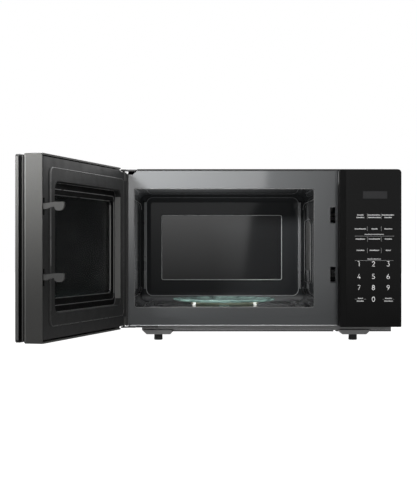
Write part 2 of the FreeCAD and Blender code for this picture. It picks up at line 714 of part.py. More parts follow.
def make_switches():
    """Each switch has a plunger that the hook's tip pushes rearwards."""
    rows = [("primary_switch", nose_low + hook_pitch + 6.2), ("monitor_switch", nose_low + 2.9),
            ("secondary_switch", nose_low + 9.4)]
    for name, z in rows:
        x0 = slot_left - 7.6
        case_front = hook_tip + 2.6
        case = block(x0, x0 + 19, case_front, case_front + 15, z - 3.0, z + 3.0)
        well = block(hook_x + 0.4, hook_x + 3.6, case_front - 1, case_front + 5, z - 1.6, z + 1.6)
        tags = [block(x0 + 3 + 6 * i, x0 + 6 + 6 * i, case_front + 15, case_front + 22, z - 0.4, z + 0.4)
                for i in range(3)]
        node(cut(fuse([case] + tags), [well]), name)
        plunger = block(hook_x + 0.6, hook_x + 3.4, hook_tip + 0.5, case_front + 3, z - 1.4, z + 1.4)
        node(plunger, name.replace("switch", "plunger"))


# ---------------------------------------------------------------- control panel

def make_control_panel():
    panel_right, panel_low, panel_high = right + 0.3, cell("panel_low"), cell("panel_high")
    body = new_body("panel_housing")
    sketch = front_sketch(body, front)
    rectangle(sketch, panel_left, panel_right, panel_low, panel_high)
    pad(body, sketch, cell("panel_proud"))

    def at_top_right(edge):
        return edge.BoundBox.ZMin > panel_high.value - 2 and edge.BoundBox.XMin > right.value - 2

    body_fillet(body, cell("panel_radius"), lambda edge: runs_along(edge, "Y") and at_top_right(edge))
    body_fillet(body, 1.6, lambda edge: runs_along(edge, "Y") and not at_top_right(edge)
                and edge.BoundBox.ZMax < panel_high.value - 7)
    body_fillet(body, 1.0, lambda edge: edge.BoundBox.YMax < panel_front.value + 0.01)
    wall = 2.0
    hollow = block(panel_left + wall, panel_right - wall, panel_front + 3, front + 5,
                   panel_low + wall, panel_high - wall)
    seat = block(panel_left + 9.6, panel_right - 1.4, panel_front - 1, panel_front + 0.9,
                 panel_low + 1.4, panel_high - 1.4)
    glass_left, window_x0, window_x1 = panel_left + 9.6, 172.8, 212.4
    window_z0, window_z1 = 236.7, 248.8
    window_hole = block(window_x0 + 1, window_x1 - 1, panel_front - 1, panel_front + 4,
                        window_z0 + 1, window_z1 - 1)
    node(cut(body, [hollow, seat, window_hole]), "panel_housing")

    overlay = new_body("panel_overlay")
    sketch = front_sketch(overlay, panel_front + 0.9)
    soft_rectangle(sketch, glass_left + 0.1, panel_right - 1.5, panel_low + 1.5, panel_high - 1.5, 1.2)
    rectangle(sketch, window_x0, window_x1, window_z0, window_z1)
    pad(overlay, sketch, 0.9)
    node(overlay, "panel_overlay")
    node(block(window_x0, window_x1, panel_front + 0.1, panel_front + 0.9, window_z0, window_z1),
         "display_window")

    board_y = front - 20
    board = block(panel_left + 14, panel_right - 10, board_y, board_y + 1.6, 62, 262)
    node(board, "control_board")
    node(block(window_x0 - 4, window_x1 + 4, board_y - 9, board_y, window_z0 - 4, window_z1 + 6),
         "display_module")
    parts = [
        block(160, 178, board_y + 1.6, board_y + 17, 90, 108),
        block(184, 202, board_y + 1.6, board_y + 17, 90, 108),
        block(160, 194, board_y + 1.6, board_y + 15, 150, 180),
        drum(208, board_y + 1.6, 160, 6, 15, "Y"),
        drum(208, board_y + 1.6, 180, 5, 12, "Y"),
        block(166, 190, board_y + 1.6, board_y + 4, 205, 215),
        drum(206, board_y + 1.6, 130, 6, 8, "Y")]
    node(gather(parts), "board_components")


# ---------------------------------------------------------------- door

door_left = hinge_x - cell("door_edge")
door_right = door_left + cell("door_width")
door_low = cell("door_low")
door_high = cell("door_high")
door_front = door_face - cell("door_depth")
glass_back = door_front + cell("glass_depth")
groove_back = glass_back + cell("groove_depth")
frame_wall = cell("frame_wall")
recess_left = door_left + cell("recess_left")
recess_right = door_left + cell("recess_right")
recess_low = cell("recess_low")
recess_high = cell("recess_high")
window_left, window_right = recess_left + 12, recess_right - 12
window_low, window_high = recess_low + 20, recess_high - 17.5
ledge_y = door_face - 10
screen_y = door_face - 16


def hinge_notches():
    """Room in the door's corners for the two hinge arms as it turns."""
    x0, x1 = door_left - 1, left + 17
    y0, y1 = hinge_y - 9, door_face + 2
    return [block(x0, x1, y0, y1, door_high - 6.3, door_high + 2),
            block(x0, x1, y0, y1, door_low - 2, door_low + 5.4)]


def make_door_front():
    body = new_body("door_glass")
    sketch = front_sketch(body, glass_back)
    soft_rectangle(sketch, door_left, door_right, door_low + 1, door_high - 0.6, 4)
    pad(body, sketch, cell("glass_depth"))
    body_fillet(body, 1.2, lambda edge: edge.BoundBox.YMax < door_front.value + 0.01)
    node(body, "door_glass", on_door=True)

    grip = new_body("door_grip")
    sketch = front_sketch(grip, groove_back)
    soft_rectangle(sketch, door_left + 1.5, door_right - 13, door_low + 3, door_high - 2.6, 2)
    soft_rectangle(sketch, window_left, window_right, window_low, window_high, 8)
    pad(grip, sketch, cell("groove_depth"))
    lip = front_sketch(grip, groove_back)
    rectangle(lip, door_right - 15, door_right - 1.2, door_low + 3, door_high - 2.6)
    pad(grip, lip, 2.0)
    node(grip, "door_grip", on_door=True)


def make_door_frame():
    """The moulded surround: an outer web with the window and four side walls."""
    body = new_body("door_frame")
    sketch = front_sketch(body, door_face - 1.2)
    soft_rectangle(sketch, door_left, door_right, door_low, door_high, 2)
    soft_rectangle(sketch, door_left + frame_wall, door_right - frame_wall, door_low + frame_wall,
                   door_high - frame_wall, 1.2)
    pad(body, sketch, door_face - 1.2 - groove_back)
    web = front_sketch(body, groove_back + 2.4)
    soft_rectangle(web, door_left + 1, door_right - 1, door_low + 1, door_high - 1, 1.5)
    soft_rectangle(web, window_left, window_right, window_low, window_high, 8)
    pad(body, web, 2.4)

    def at_outer_rim(edge):
        box = edge.BoundBox
        across = box.XMin > door_right.value - 5 or box.XMax < door_left.value + 5
        upright = box.ZMin > door_high.value - 5 or box.ZMax < door_low.value + 5
        return box.YMax < groove_back.value + 0.01 and (across or upright)

    body_fillet(body, 1.6, at_outer_rim)
    corner = [block(door_left + 1, door_left + 14, groove_back + 1, door_face - 0.2, z0, z1)
              for z0, z1 in ((door_high - 20, door_high - 6.4), (door_low + 5.5, door_low + 19.5))]
    bores = [drum(hinge_x, hinge_y, door_high - 22, 3.5, 20),
             drum(hinge_x, hinge_y, door_low + 3, 3.5, 20)]
    node(cut(fuse([body] + corner), hinge_notches() + bores), "door_frame", on_door=True)


def make_bushes():
    bushes = [cut(drum(hinge_x, hinge_y, z0, 3.5, 13), [drum(hinge_x, hinge_y, z0 - 1, 2.05, 16)])
              for z0 in (door_high - 19.8, door_low + 5.9)]
    node(gather(bushes), "pivot_bushes", on_door=True)


def make_door_panel():
    """The inner steel pressing: choke wall, flange, and the pan that holds the screen."""
    body = new_body("door_panel")
    flange = front_sketch(body, ledge_y)
    x0, x1 = door_left + 16.5, door_right - 11.5
    z0, z1 = door_low + 22.5, door_high - 22.5
    rectangle(flange, x0, x1, z0, z1)
    soft_rectangle(flange, window_left, window_right, window_low, window_high, 9)
    pad(body, flange, 1.0)
    pan = front_sketch(body, ledge_y - 0.6)
    soft_rectangle(pan, window_left - 1, window_right + 1, window_low - 1, window_high + 1, 10)
    soft_rectangle(pan, window_left, window_right, window_low, window_high, 9)
    pad(body, pan, ledge_y - 0.6 - screen_y + 0.6)
    screen = front_sketch(body, screen_y)
    soft_rectangle(screen, window_left - 1, window_right + 1, window_low - 1, window_high + 1, 10)
    pad(body, screen, 0.6)
    choke = front_sketch(body, door_face - 2.6)
    rectangle(choke, x0, x1, z0, z1)
    rectangle(choke, x0 + 1, x1 - 1, z0 + 1, z1 - 1)
    pad(body, choke, door_face - 2.6 - ledge_y + 0.5)
    node(body, "door_panel", on_door=True)
    sheet_piece = new_body("door_inner_sheet")
    sketch = front_sketch(sheet_piece, screen_y + 0.5)
    soft_rectangle(sketch, window_left + 0.5, window_right - 0.5, window_low + 0.5, window_high - 0.5, 8.5)
    pad(sheet_piece, sketch, 0.4)
    node(sheet_piece, "door_inner_sheet", on_door=True)


def make_choke_cover():
    """The moulded cover on the door's inner face, with a raised field and a stepped mouth."""
    body = new_body("choke_cover")
    x0, x1 = door_left + 3.0, door_right - 2.9
    z0, z1 = door_low + 5.2, door_high - 4.3
    plate = front_sketch(body, door_face - 0.7)
    soft_rectangle(plate, x0, x1, z0, z1, 1.5)
    soft_rectangle(plate, recess_left, recess_right, recess_low, recess_high, 13)
    pad(body, plate, 1.7)
    field = front_sketch(body, door_face)
    soft_rectangle(field, door_left + 16.8, door_left + 336, door_low + 22.8, door_high - 18.4, 10)
    soft_rectangle(field, recess_left, recess_right, recess_low, recess_high, 13)
    pad(body, field, 1.0)
    mouth = front_sketch(body, door_face - 1.5)
    soft_rectangle(mouth, recess_left - 1.6, recess_right + 1.6, recess_low - 1.6, recess_high + 1.6, 14.6)
    soft_rectangle(mouth, recess_left, recess_right, recess_low, recess_high, 13)
    pad(body, mouth, door_face - 1.5 - ledge_y - 0.1)
    body_fillet(body, 0.65, lambda edge: edge.BoundBox.YMin > door_face.value - 0.01)
    slots = [block(hook_x - 0.9, door_right, door_face - 5, door_face + 2,
                   slot_low + hook_pitch * level + 4.0, slot_low + hook_pitch * level + 28.5)
             for level in range(2)]
    x_room = door_left - 1
    pivot_room = [
        block(x_room, left + 17, door_face - 8, door_face + 2, door_high - 6.3, door_high + 2),
        block(x_room, left + 17, door_face - 8, door_face + 2, door_low - 2, door_low + 5.4),
        block(x_room, door_left + 14.2, door_face - 8, door_face + 2, door_high - 20.2, door_high),
        block(x_room, door_left + 14.2, door_face - 8, door_face + 2, door_low, door_low + 19.7)]
    node(cut(body, slots + pivot_room), "choke_cover", on_door=True)


def make_latch():
    """One moulded lever with both hooks; it lifts against a spring inside the door."""
    body = new_body("latch_lever")
    sketch = sketch_on(body, "YZ_Plane", hook_x)
    root = door_face - 8.0
    bar_depth, bar_overhang = 6, (20, 26)

    def hook_outline(nose):
        """One hook, from the bar's face out along its underside and back along its top."""
        return [
            (root, nose + 2.6), (door_face + 4, nose + 2.6), (door_face + 15, nose + 6.3),
            (door_face + 16.2, nose + 2.2), (door_face + 19.5, nose + 0.3), (door_face + 24.5, nose),
            (hook_tip - 1.6, nose + 2.4), (hook_tip, nose + 5.8), (hook_tip, nose + 12.3),
            (door_face + 16.5, nose + 12.3), (door_face + 4, nose + 10.6), (root, nose + 10.6)]

    bar_low, bar_high = nose_low - bar_overhang[0], nose_low + hook_pitch + bar_overhang[1]
    outline = [(root - bar_depth, bar_low), (root, bar_low)]
    outline += hook_outline(nose_low)
    outline += hook_outline(nose_low + hook_pitch)
    outline += [(root, bar_high), (root - bar_depth, bar_high)]
    polygon(sketch, outline)
    pad(body, sketch, hook_thickness)
    node(body, "latch_lever", on_door=True)
    spring_x, spring_y = hook_x + hook_thickness / 2, root - bar_depth / 2
    spring_low = bar_high + 0.2
    coil = cut(drum(spring_x, spring_y, spring_low, 1.9, 16),
               [drum(spring_x, spring_y, spring_low - 1, 1.2, 18)])
    node(coil, "latch_spring", on_door=True)


# ---------------------------------------------------------------- build, check, write

make_wrap()
make_front_plate()
make_base()
make_feet()
make_rear_panel()
make_case_screws()
make_hinge("upper_hinge", 283.9, 2.5, 262, 284, 268.6, 16)
make_hinge("lower_hinge", 23.2, 2.4, 25, 48, 24.5, 16)
make_cavity()
make_waveguide_cover()
make_waveguide()
make_magnetron()
make_transformer()
make_high_voltage_parts()
make_fan()
make_lamp()
make_cutouts()
make_mains_filter()
make_turntable()
make_interlock()
make_switches()
make_control_panel()
make_door_front()
make_door_frame()
make_bushes()
make_door_panel()
make_choke_cover()
make_latch()
doc.recompute()

troubles = [f"{item.Name} ({item.Label}): {item.State}" for item in doc.Objects
            if "Invalid" in item.State or "Error" in item.State]
for item in NODES:
    if item.Shape.isNull() or not item.Shape.isValid():
        troubles.append(f"{item.Label}: shape not valid")
if troubles:
    raise RuntimeError("; ".join(troubles))

os.makedirs("parts", exist_ok=True)
for item in NODES:
    item.Shape.exportStep(f"parts/{item.Label}.step")
print(len(NODES), "sub-parts written")
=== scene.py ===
import math

import bmesh
import bpy
from mathutils import Matrix, Vector


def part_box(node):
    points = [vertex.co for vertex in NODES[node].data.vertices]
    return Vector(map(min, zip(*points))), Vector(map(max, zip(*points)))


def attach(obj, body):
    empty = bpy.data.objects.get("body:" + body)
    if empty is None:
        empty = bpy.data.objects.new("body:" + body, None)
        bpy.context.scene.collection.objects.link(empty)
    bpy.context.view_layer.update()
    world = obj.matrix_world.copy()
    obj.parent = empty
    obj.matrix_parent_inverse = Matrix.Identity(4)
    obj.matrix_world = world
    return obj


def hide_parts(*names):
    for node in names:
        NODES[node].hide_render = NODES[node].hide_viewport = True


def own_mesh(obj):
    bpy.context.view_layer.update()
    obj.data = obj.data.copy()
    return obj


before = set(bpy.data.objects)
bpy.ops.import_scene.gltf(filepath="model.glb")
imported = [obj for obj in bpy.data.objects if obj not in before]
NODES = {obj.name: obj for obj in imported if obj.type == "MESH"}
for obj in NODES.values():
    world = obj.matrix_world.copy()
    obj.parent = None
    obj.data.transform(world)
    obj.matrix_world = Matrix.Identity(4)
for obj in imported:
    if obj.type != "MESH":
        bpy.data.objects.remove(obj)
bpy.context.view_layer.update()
SCENE = bpy.context.scene

# ---------------------------------------------------------------- camera

FRONT_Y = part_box("front_plate")[0].y
CAMERA_X, CAMERA_BACK, CAMERA_Z = -0.0801, 2.060, 0.1526
CAMERA_NEAR = 0.05
LENS_MM, SENSOR_MM = 88.96, 36.0


def make_camera():
    """A level camera that looks straight at the front plate."""
    data = bpy.data.cameras.new("camera")
    data.lens = LENS_MM
    data.sensor_width = SENSOR_MM
    data.clip_start = CAMERA_NEAR
    camera = bpy.data.objects.new("camera", data)
    camera.location = (CAMERA_X, FRONT_Y - CAMERA_BACK, CAMERA_Z)
    camera.rotation_euler = (math.radians(90), 0, 0)
    SCENE.collection.objects.link(camera)
    SCENE.camera = camera


# ---------------------------------------------------------------- node helpers

def math_node(tree, operation, first, second=0.0):
    """One Math node; each input is a number or the socket that feeds it."""
    item = tree.nodes.new("ShaderNodeMath")
    item.operation = operation
    for socket, value in zip(item.inputs, (first, second)):
        if isinstance(value, (int, float)):
            socket.default_value = value
        else:
            tree.links.new(value, socket)
    return item.outputs[0]


def range_node(tree, value, low, high, to_low, to_high, smooth=False):
    """A clamped Map Range node."""
    item = tree.nodes.new("ShaderNodeMapRange")
    item.interpolation_type = "SMOOTHSTEP" if smooth else "LINEAR"
    limits = (("From Min", low), ("From Max", high), ("To Min", to_low), ("To Max", to_high))
    for socket, limit in limits:
        item.inputs[socket].default_value = limit
    tree.links.new(value, item.inputs["Value"])
    return item.outputs["Result"]


# ---------------------------------------------------------------- studio

# What glossy surfaces see. Places in it are slopes of a ray: across is x / depth, upward z / depth.
MIN_DEPTH = 0.05
ROOM_LOW, ROOM_MIDDLE, ROOM_HIGH, ROOM_TOP = -0.055, -0.02, 0.065, 1.0
ROOM_DARK, ROOM_LIGHT, ROOM_RISE, CEILING = 0.26, 0.92, 0.25, 0.6
HOLLOW_LIGHT = 0.3
HOLLOW_RIGHT, HOLLOW_RIGHT_END = 0.070, 0.085
HOLLOW_TALL, HOLLOW_TALL_END = 0.036, 0.046

# The softbox on the left: its right edge leans, and flares outwards near the top.
BOX_LIGHT = 2.85
BOX_EDGE, BOX_LEAN, BOX_BLUR = 0.033, 0.108, 0.004
BOX_FLARE, BOX_FLARE_LOW, BOX_FLARE_HIGH = 0.0095, 0.028, 0.0495
BOX_FAR, BOX_FAR_END = -0.9, -0.5
BOX_FOOT, BOX_FULL, BOX_FADE_POWER = -0.055, 0.03, 1.8
BOX_TOP, BOX_TOP_END = 0.10, 0.22

AMBIENT = 0.42
WHITE = (1, 1, 1, 1)

FLOOR_HALF = 6.0
FLOOR_ROUGH = 0.9
FLOOR_BASE = (0.02, 0.02, 0.02, 1)

# Each lamp: name, place, aim, width, height, power in watts, spread in degrees.
LAMPS = (
    ("key", (0.20, -2.3, 1.25), (0.05, -0.1, 0.25), 0.9, 0.9, 1.2, 28),
    ("door_top", (-1.1, -2.3, 0.62), (-0.34, -0.43, 0.40), 0.2, 0.2, 1.9, 15),
    ("overhead", (0.1, -0.5, 1.9), (0, -0.1, 0), 1.4, 1.4, 6, 180),
    ("cavity_bounce", (-0.05, -0.10, 0.080), (-0.05, -0.08, 0.25), 0.24, 0.05, 0.75, 180),
)


def studio_room(tree, across, upward):
    """A dim room, lighter upwards, with a darker hollow straight ahead."""
    room = range_node(tree, upward, ROOM_LOW, ROOM_MIDDLE, ROOM_DARK, ROOM_LIGHT)
    rise = range_node(tree, upward, ROOM_MIDDLE, ROOM_HIGH, 0.0, ROOM_RISE)
    room = math_node(tree, "ADD", room, rise)
    ceiling = range_node(tree, upward, ROOM_HIGH, ROOM_TOP, 0.0, CEILING)
    room = math_node(tree, "ADD", room, ceiling)
    height = math_node(tree, "ABSOLUTE", upward)
    beside = range_node(tree, across, HOLLOW_RIGHT, HOLLOW_RIGHT_END, 0.0, 1.0, True)
    above = range_node(tree, height, HOLLOW_TALL, HOLLOW_TALL_END, 0.0, 1.0, True)
    outside = math_node(tree, "MAXIMUM", beside, above)
    hollow = range_node(tree, outside, 0.0, 1.0, HOLLOW_LIGHT, 1.0)
    return math_node(tree, "MULTIPLY", room, hollow)


def studio_softbox(tree, across, upward):
    """One tall softbox on the left, which fades towards its foot."""
    edge = math_node(tree, "MULTIPLY", upward, BOX_LEAN)
    edge = math_node(tree, "ADD", edge, BOX_EDGE)
    flare = range_node(tree, upward, BOX_FLARE_LOW, BOX_FLARE_HIGH, 0.0, BOX_FLARE)
    edge = math_node(tree, "ADD", edge, flare)
    within = math_node(tree, "SUBTRACT", edge, across)
    inside = range_node(tree, within, 0.0, BOX_BLUR, 0.0, 1.0, True)
    far_side = range_node(tree, across, BOX_FAR, BOX_FAR_END, 0.0, 1.0, True)
    fade = range_node(tree, upward, BOX_FOOT, BOX_FULL, 0.0, 1.0)
    fade = math_node(tree, "POWER", fade, BOX_FADE_POWER)
    top_end = range_node(tree, upward, BOX_TOP, BOX_TOP_END, 1.0, 0.0, True)
    box = math_node(tree, "MULTIPLY", inside, far_side)
    for factor in (fade, top_end, BOX_LIGHT):
        box = math_node(tree, "MULTIPLY", box, factor)
    return box


def studio_gloss(tree):
    """The brightness that a glossy surface sees in each direction in front of the oven."""
    coords = tree.nodes.new("ShaderNodeTexCoord")
    split = tree.nodes.new("ShaderNodeSeparateXYZ")
    tree.links.new(coords.outputs["Generated"], split.inputs[0])
    forward = math_node(tree, "MULTIPLY", split.outputs["Y"], -1.0)
    depth = math_node(tree, "MAXIMUM", forward, MIN_DEPTH)
    across = math_node(tree, "DIVIDE", split.outputs["X"], depth)
    upward = math_node(tree, "DIVIDE", split.outputs["Z"], depth)
    room = studio_room(tree, across, upward)
    return math_node(tree, "ADD", room, studio_softbox(tree, across, upward))


def make_world():
    """White to the eye, the studio in glossy surfaces, and an even soft light for all others."""
    world = bpy.data.worlds.new("studio")
    world.use_nodes = True
    world.cycles.sampling_method = "NONE"
    tree = world.node_tree
    tree.nodes.clear()
    output = tree.nodes.new("ShaderNodeOutputWorld")
    background = tree.nodes.new("ShaderNodeBackground")
    path = tree.nodes.new("ShaderNodeLightPath")
    strength = math_node(tree, "MULTIPLY", studio_gloss(tree), path.outputs["Is Glossy Ray"])
    others = math_node(tree, "SUBTRACT", 1.0, path.outputs["Is Glossy Ray"])
    others = math_node(tree, "MULTIPLY", others, AMBIENT)
    strength = math_node(tree, "ADD", strength, others)
    strength = math_node(tree, "MAXIMUM", strength, path.outputs["Is Camera Ray"])
    background.inputs["Color"].default_value = WHITE
    tree.links.new(strength, background.inputs["Strength"])
    tree.links.new(background.outputs[0], output.inputs["Surface"])
    SCENE.world = world


def make_floor():
    """A wide white floor that lights nothing and mirrors in nothing."""
    corners = [(-FLOOR_HALF, -FLOOR_HALF, 0), (FLOOR_HALF, -FLOOR_HALF, 0),
               (FLOOR_HALF, FLOOR_HALF, 0), (-FLOOR_HALF, FLOOR_HALF, 0)]
    mesh = bpy.data.meshes.new("floor")
    mesh.from_pydata(corners, [], [(0, 1, 2, 3)])
    floor = bpy.data.objects.new("floor", mesh)
    SCENE.collection.objects.link(floor)
    material = bpy.data.materials.new("floor_paint")
    material.use_nodes = True
    shader = material.node_tree.nodes["Principled BSDF"]
    shader.inputs["Base Color"].default_value = FLOOR_BASE
    shader.inputs["Roughness"].default_value = FLOOR_ROUGH
    shader.inputs["Emission Color"].default_value = WHITE
    shader.inputs["Emission Strength"].default_value = 1.0
    mesh.materials.append(material)
    floor.visible_glossy = False
    floor.visible_diffuse = False


def area_light(name, place, aim, width, height, power, spread):
    """A rectangular lamp that neither the camera nor a glossy surface sees."""
    data = bpy.data.lights.new(name, "AREA")
    data.shape = "RECTANGLE"
    data.size = width
    data.size_y = height
    data.energy = power
    data.spread = math.radians(spread)
    light = bpy.data.objects.new(name, data)
    light.location = place
    light.rotation_euler = (Vector(aim) - Vector(place)).to_track_quat("-Z", "Y").to_euler()
    light.visible_camera = False
    light.visible_glossy = False
    SCENE.collection.objects.link(light)


def make_lights():
    for lamp in LAMPS:
        area_light(*lamp)


# ---------------------------------------------------------------- material kit

# Most of a noise texture lies between these values.
NOISE_LOW, NOISE_HIGH = 0.3, 0.7
SMOOTHEST = 0.02


class Finish:
    """A Principled material with helpers for procedural colour, roughness and bump."""

    def __init__(self, name, base, rough, metallic=0.0, coat=0.0, coat_rough=0.05, ior=1.5,
                 specular=0.5):
        self.material = bpy.data.materials.new(name)
        self.material.use_nodes = True
        self.tree = self.material.node_tree
        self.shader = self.tree.nodes["Principled BSDF"]
        self.base = base
        self.rough = rough
        self.put("Base Color", (*base, 1))
        self.put("Roughness", rough)
        self.put("Metallic", metallic)
        self.put("Coat Weight", coat)
        self.put("Coat Roughness", coat_rough)
        self.put("IOR", ior)
        self.put("Specular IOR Level", specular)
        self.coords = self.node("ShaderNodeTexCoord")
        self.colour = None
        self.normal = None

    def put(self, socket, value):
        self.shader.inputs[socket].default_value = value

    def glow(self, colour, strength):
        self.put("Emission Color", (*colour, 1))
        self.put("Emission Strength", strength)

    def node(self, kind):
        return self.tree.nodes.new(kind)

    def link(self, source, target):
        self.tree.links.new(source, target)

    def feed(self, source, socket):
        self.link(source, self.shader.inputs[socket])

    def math(self, operation, first, second=0.0):
        return math_node(self.tree, operation, first, second)

    def remap(self, value, low, high, to_low, to_high):
        return range_node(self.tree, value, low, high, to_low, to_high)

    def noise(self, scale, detail, stretch=(1, 1, 1), roughness=0.55):
        mapping = self.node("ShaderNodeMapping")
        mapping.inputs["Scale"].default_value = stretch
        self.link(self.coords.outputs["Object"], mapping.inputs["Vector"])
        texture = self.node("ShaderNodeTexNoise")
        texture.inputs["Scale"].default_value = scale
        texture.inputs["Detail"].default_value = detail
        texture.inputs["Roughness"].default_value = roughness
        self.link(mapping.outputs[0], texture.inputs["Vector"])
        return texture.outputs["Fac"]

    def voronoi(self, scale):
        texture = self.node("ShaderNodeTexVoronoi")
        texture.inputs["Scale"].default_value = scale
        self.link(self.coords.outputs["Object"], texture.inputs["Vector"])
        return texture.outputs["Distance"]

    def position(self):
        """The point on the surface, as X, Y and Z sockets in metres."""
        split = self.node("ShaderNodeSeparateXYZ")
        self.link(self.coords.outputs["Object"], split.inputs[0])
        return split.outputs

    def mix_colour(self, factor, first, second):
        item = self.node("ShaderNodeMix")
        item.data_type = "RGBA"
        self.link(factor, item.inputs["Factor"])
        for socket, value in ((item.inputs["A"], first), (item.inputs["B"], second)):
            if isinstance(value, tuple):
                socket.default_value = (*value, 1)
            else:
                self.link(value, socket)
        return item.outputs["Result"]

    def set_colour(self, colour):
        self.colour = colour
        self.feed(colour, "Base Color")

    def vary_colour(self, factor, low, high):
        """Base colour between two scaled shades of itself."""
        dark = tuple(channel * low for channel in self.base)
        light = tuple(min(1.0, channel * high) for channel in self.base)
        self.set_colour(self.mix_colour(factor, dark, light))

    def vary_rough(self, factor, spread):
        """Roughness that drifts by the spread either way."""
        low = max(SMOOTHEST, self.rough - spread)
        rough = self.remap(factor, NOISE_LOW, NOISE_HIGH, low, self.rough + spread)
        self.feed(rough, "Roughness")

    def bump(self, height, distance):
        """Relief, added to any bump that is already there."""
        item = self.node("ShaderNodeBump")
        item.inputs["Distance"].default_value = distance
        self.link(height, item.inputs["Height"])
        if self.normal is not None:
            self.link(self.normal, item.inputs["Normal"])
        self.normal = item.outputs["Normal"]
        self.feed(self.normal, "Normal")


def grey(level):
    """A neutral colour."""
    return (level, level, level)


def smooth_paint(name, base, rough, metallic, coat=0.3, peel=0.00002):
    """Sprayed paint or enamel: faint orange peel, cloudy gloss, tiny colour drift."""
    finish = Finish(name, base, rough, metallic, coat)
    finish.vary_colour(finish.noise(6, 4), 0.88, 1.10)
    finish.vary_rough(finish.noise(22, 3), 0.05)
    finish.bump(finish.noise(900, 2), peel)
    return finish


def highlight_paint(name, base, metallic, coat):
    """Light paint for the thin beads that stand for painted highlights on folds and edges; almost
    without orange peel.
    """
    return smooth_paint(name, base, 0.3, metallic, coat, peel=0.000004)


def powder_coat(name, base, rough, grain=2400, depth=0.00005, specular=0.5):
    """Fine-textured powder coat."""
    finish = Finish(name, base, rough, specular=specular)
    speck = finish.noise(grain, 2, roughness=0.7)
    finish.vary_colour(speck, 0.7, 1.35)
    finish.vary_rough(finish.noise(30, 3), 0.03)
    finish.bump(speck, depth)
    return finish


def moulded(name, base, rough, grain=3000, depth=0.00003, coat=0.0, specular=0.5):
    """Injection-moulded plastic with a spark-eroded grain and soft flow marks."""
    finish = Finish(name, base, rough, coat=coat, specular=specular)
    finish.vary_colour(finish.noise(14, 4, (1, 1, 0.4)), 0.85, 1.15)
    finish.vary_rough(finish.noise(40, 3), 0.07)
    finish.bump(finish.voronoi(grain), depth)
    return finish


def bare_metal(name, base, rough, stretch=(1, 40, 1), depth=0.00002):
    """Rolled or drawn metal with fine lines along one direction."""
    finish = Finish(name, base, rough, metallic=1.0)
    lines = finish.noise(160, 4, stretch)
    finish.vary_colour(lines, 0.82, 1.08)
    finish.vary_rough(finish.noise(60, 3), 0.05)
    finish.bump(lines, depth)
    return finish


def clear_finish(name, base, rough, clarity, ior=1.5):
    """Glass or clear sheet: faint smears in its tint and gloss."""
    finish = Finish(name, base, rough, ior=ior)
    finish.put("Transmission Weight", clarity)
    finish.vary_colour(finish.noise(25, 3), 0.9, 1.03)
    finish.vary_rough(finish.noise(18, 4), 0.02)
    finish.bump(finish.noise(8, 2), 0.00003)
    return finish


def cavity_gloss(name, base, specular):
    """The near-mirror enamel of the cavity, faintly clouded."""
    finish = Finish(name, base, 0.036, specular=specular)
    finish.vary_colour(finish.noise(7, 4), 0.85, 1.15)
    finish.vary_rough(finish.noise(9, 2), 0.005)
    finish.bump(finish.noise(600, 2), 0.000003)
    return finish


# ---------------------------------------------------------------- materials

DOOR_PIVOT = Vector((-0.2211, -0.1598, 0.0))
DOOR_OPEN = math.radians(-105.2)
DOOR_TURN = (Matrix.Translation(DOOR_PIVOT) @ Matrix.Rotation(DOOR_OPEN, 4, "Z")
             @ Matrix.Translation(-DOOR_PIVOT))

# Painted light on the cavity's enamel: brighter from deep inside to the mouth, less so towards the
# right wall, and lighter from the floor's fold downwards.
DEEP_Y, MOUTH_Y, MOUTH_LIGHT_SHARE = 0.120, -0.155, 0.95
LEFT_X, RIGHT_X, RIGHT_LIGHT_SHARE = -0.15, 0.09, 0.12
FOLD_LIGHT_TOP_Z, FOLD_LIGHT_LOW_Z = 0.069, 0.062

# The window's holes: staggered rows, an equilateral pitch apart; radii in pitches.
HOLE_PITCH, ROW_PITCH, ROW_PITCH_SQUARED = 1.9e-3, 0.866, 0.75
HOLE_CORE, HOLE_EDGE = 0.26, 0.34


def make_front_enamel():
    """Grey enamel on the front plate, smooth enough to mirror the studio."""
    finish = Finish("front_enamel", (0.066, 0.069, 0.071), 0.032)
    finish.vary_colour(finish.noise(5, 4), 0.94, 1.06)
    finish.vary_rough(finish.noise(9, 2), 0.004)
    finish.bump(finish.noise(700, 2), 0.000003)
    return finish


def make_cavity_with_painted_light():
    """Dark enamel with painted light: lighter towards the opening, less so towards the right wall,
    and lighter from the fold above the floor downwards.
    """
    finish = cavity_gloss("cavity_enamel", (0.013, 0.0138, 0.0145), 0.07)
    place = finish.position()
    # Painted light near the mouth, weaker towards the right wall, which makes a painted shade
    # there.
    near = finish.remap(place["Y"], DEEP_Y, MOUTH_Y, 0.0, MOUTH_LIGHT_SHARE)
    beside = finish.remap(place["X"], LEFT_X, RIGHT_X, 1.0, RIGHT_LIGHT_SHARE)
    near = finish.math("MULTIPLY", near, beside)
    walls = finish.mix_colour(near, finish.colour, (0.125, 0.128, 0.131))
    # Painted light from the fold above the floor downwards.
    low = finish.remap(place["Z"], FOLD_LIGHT_TOP_Z, FOLD_LIGHT_LOW_Z, 0.0, 1.0)
    finish.set_colour(finish.mix_colour(low, walls, (0.084, 0.086, 0.088)))
    return finish


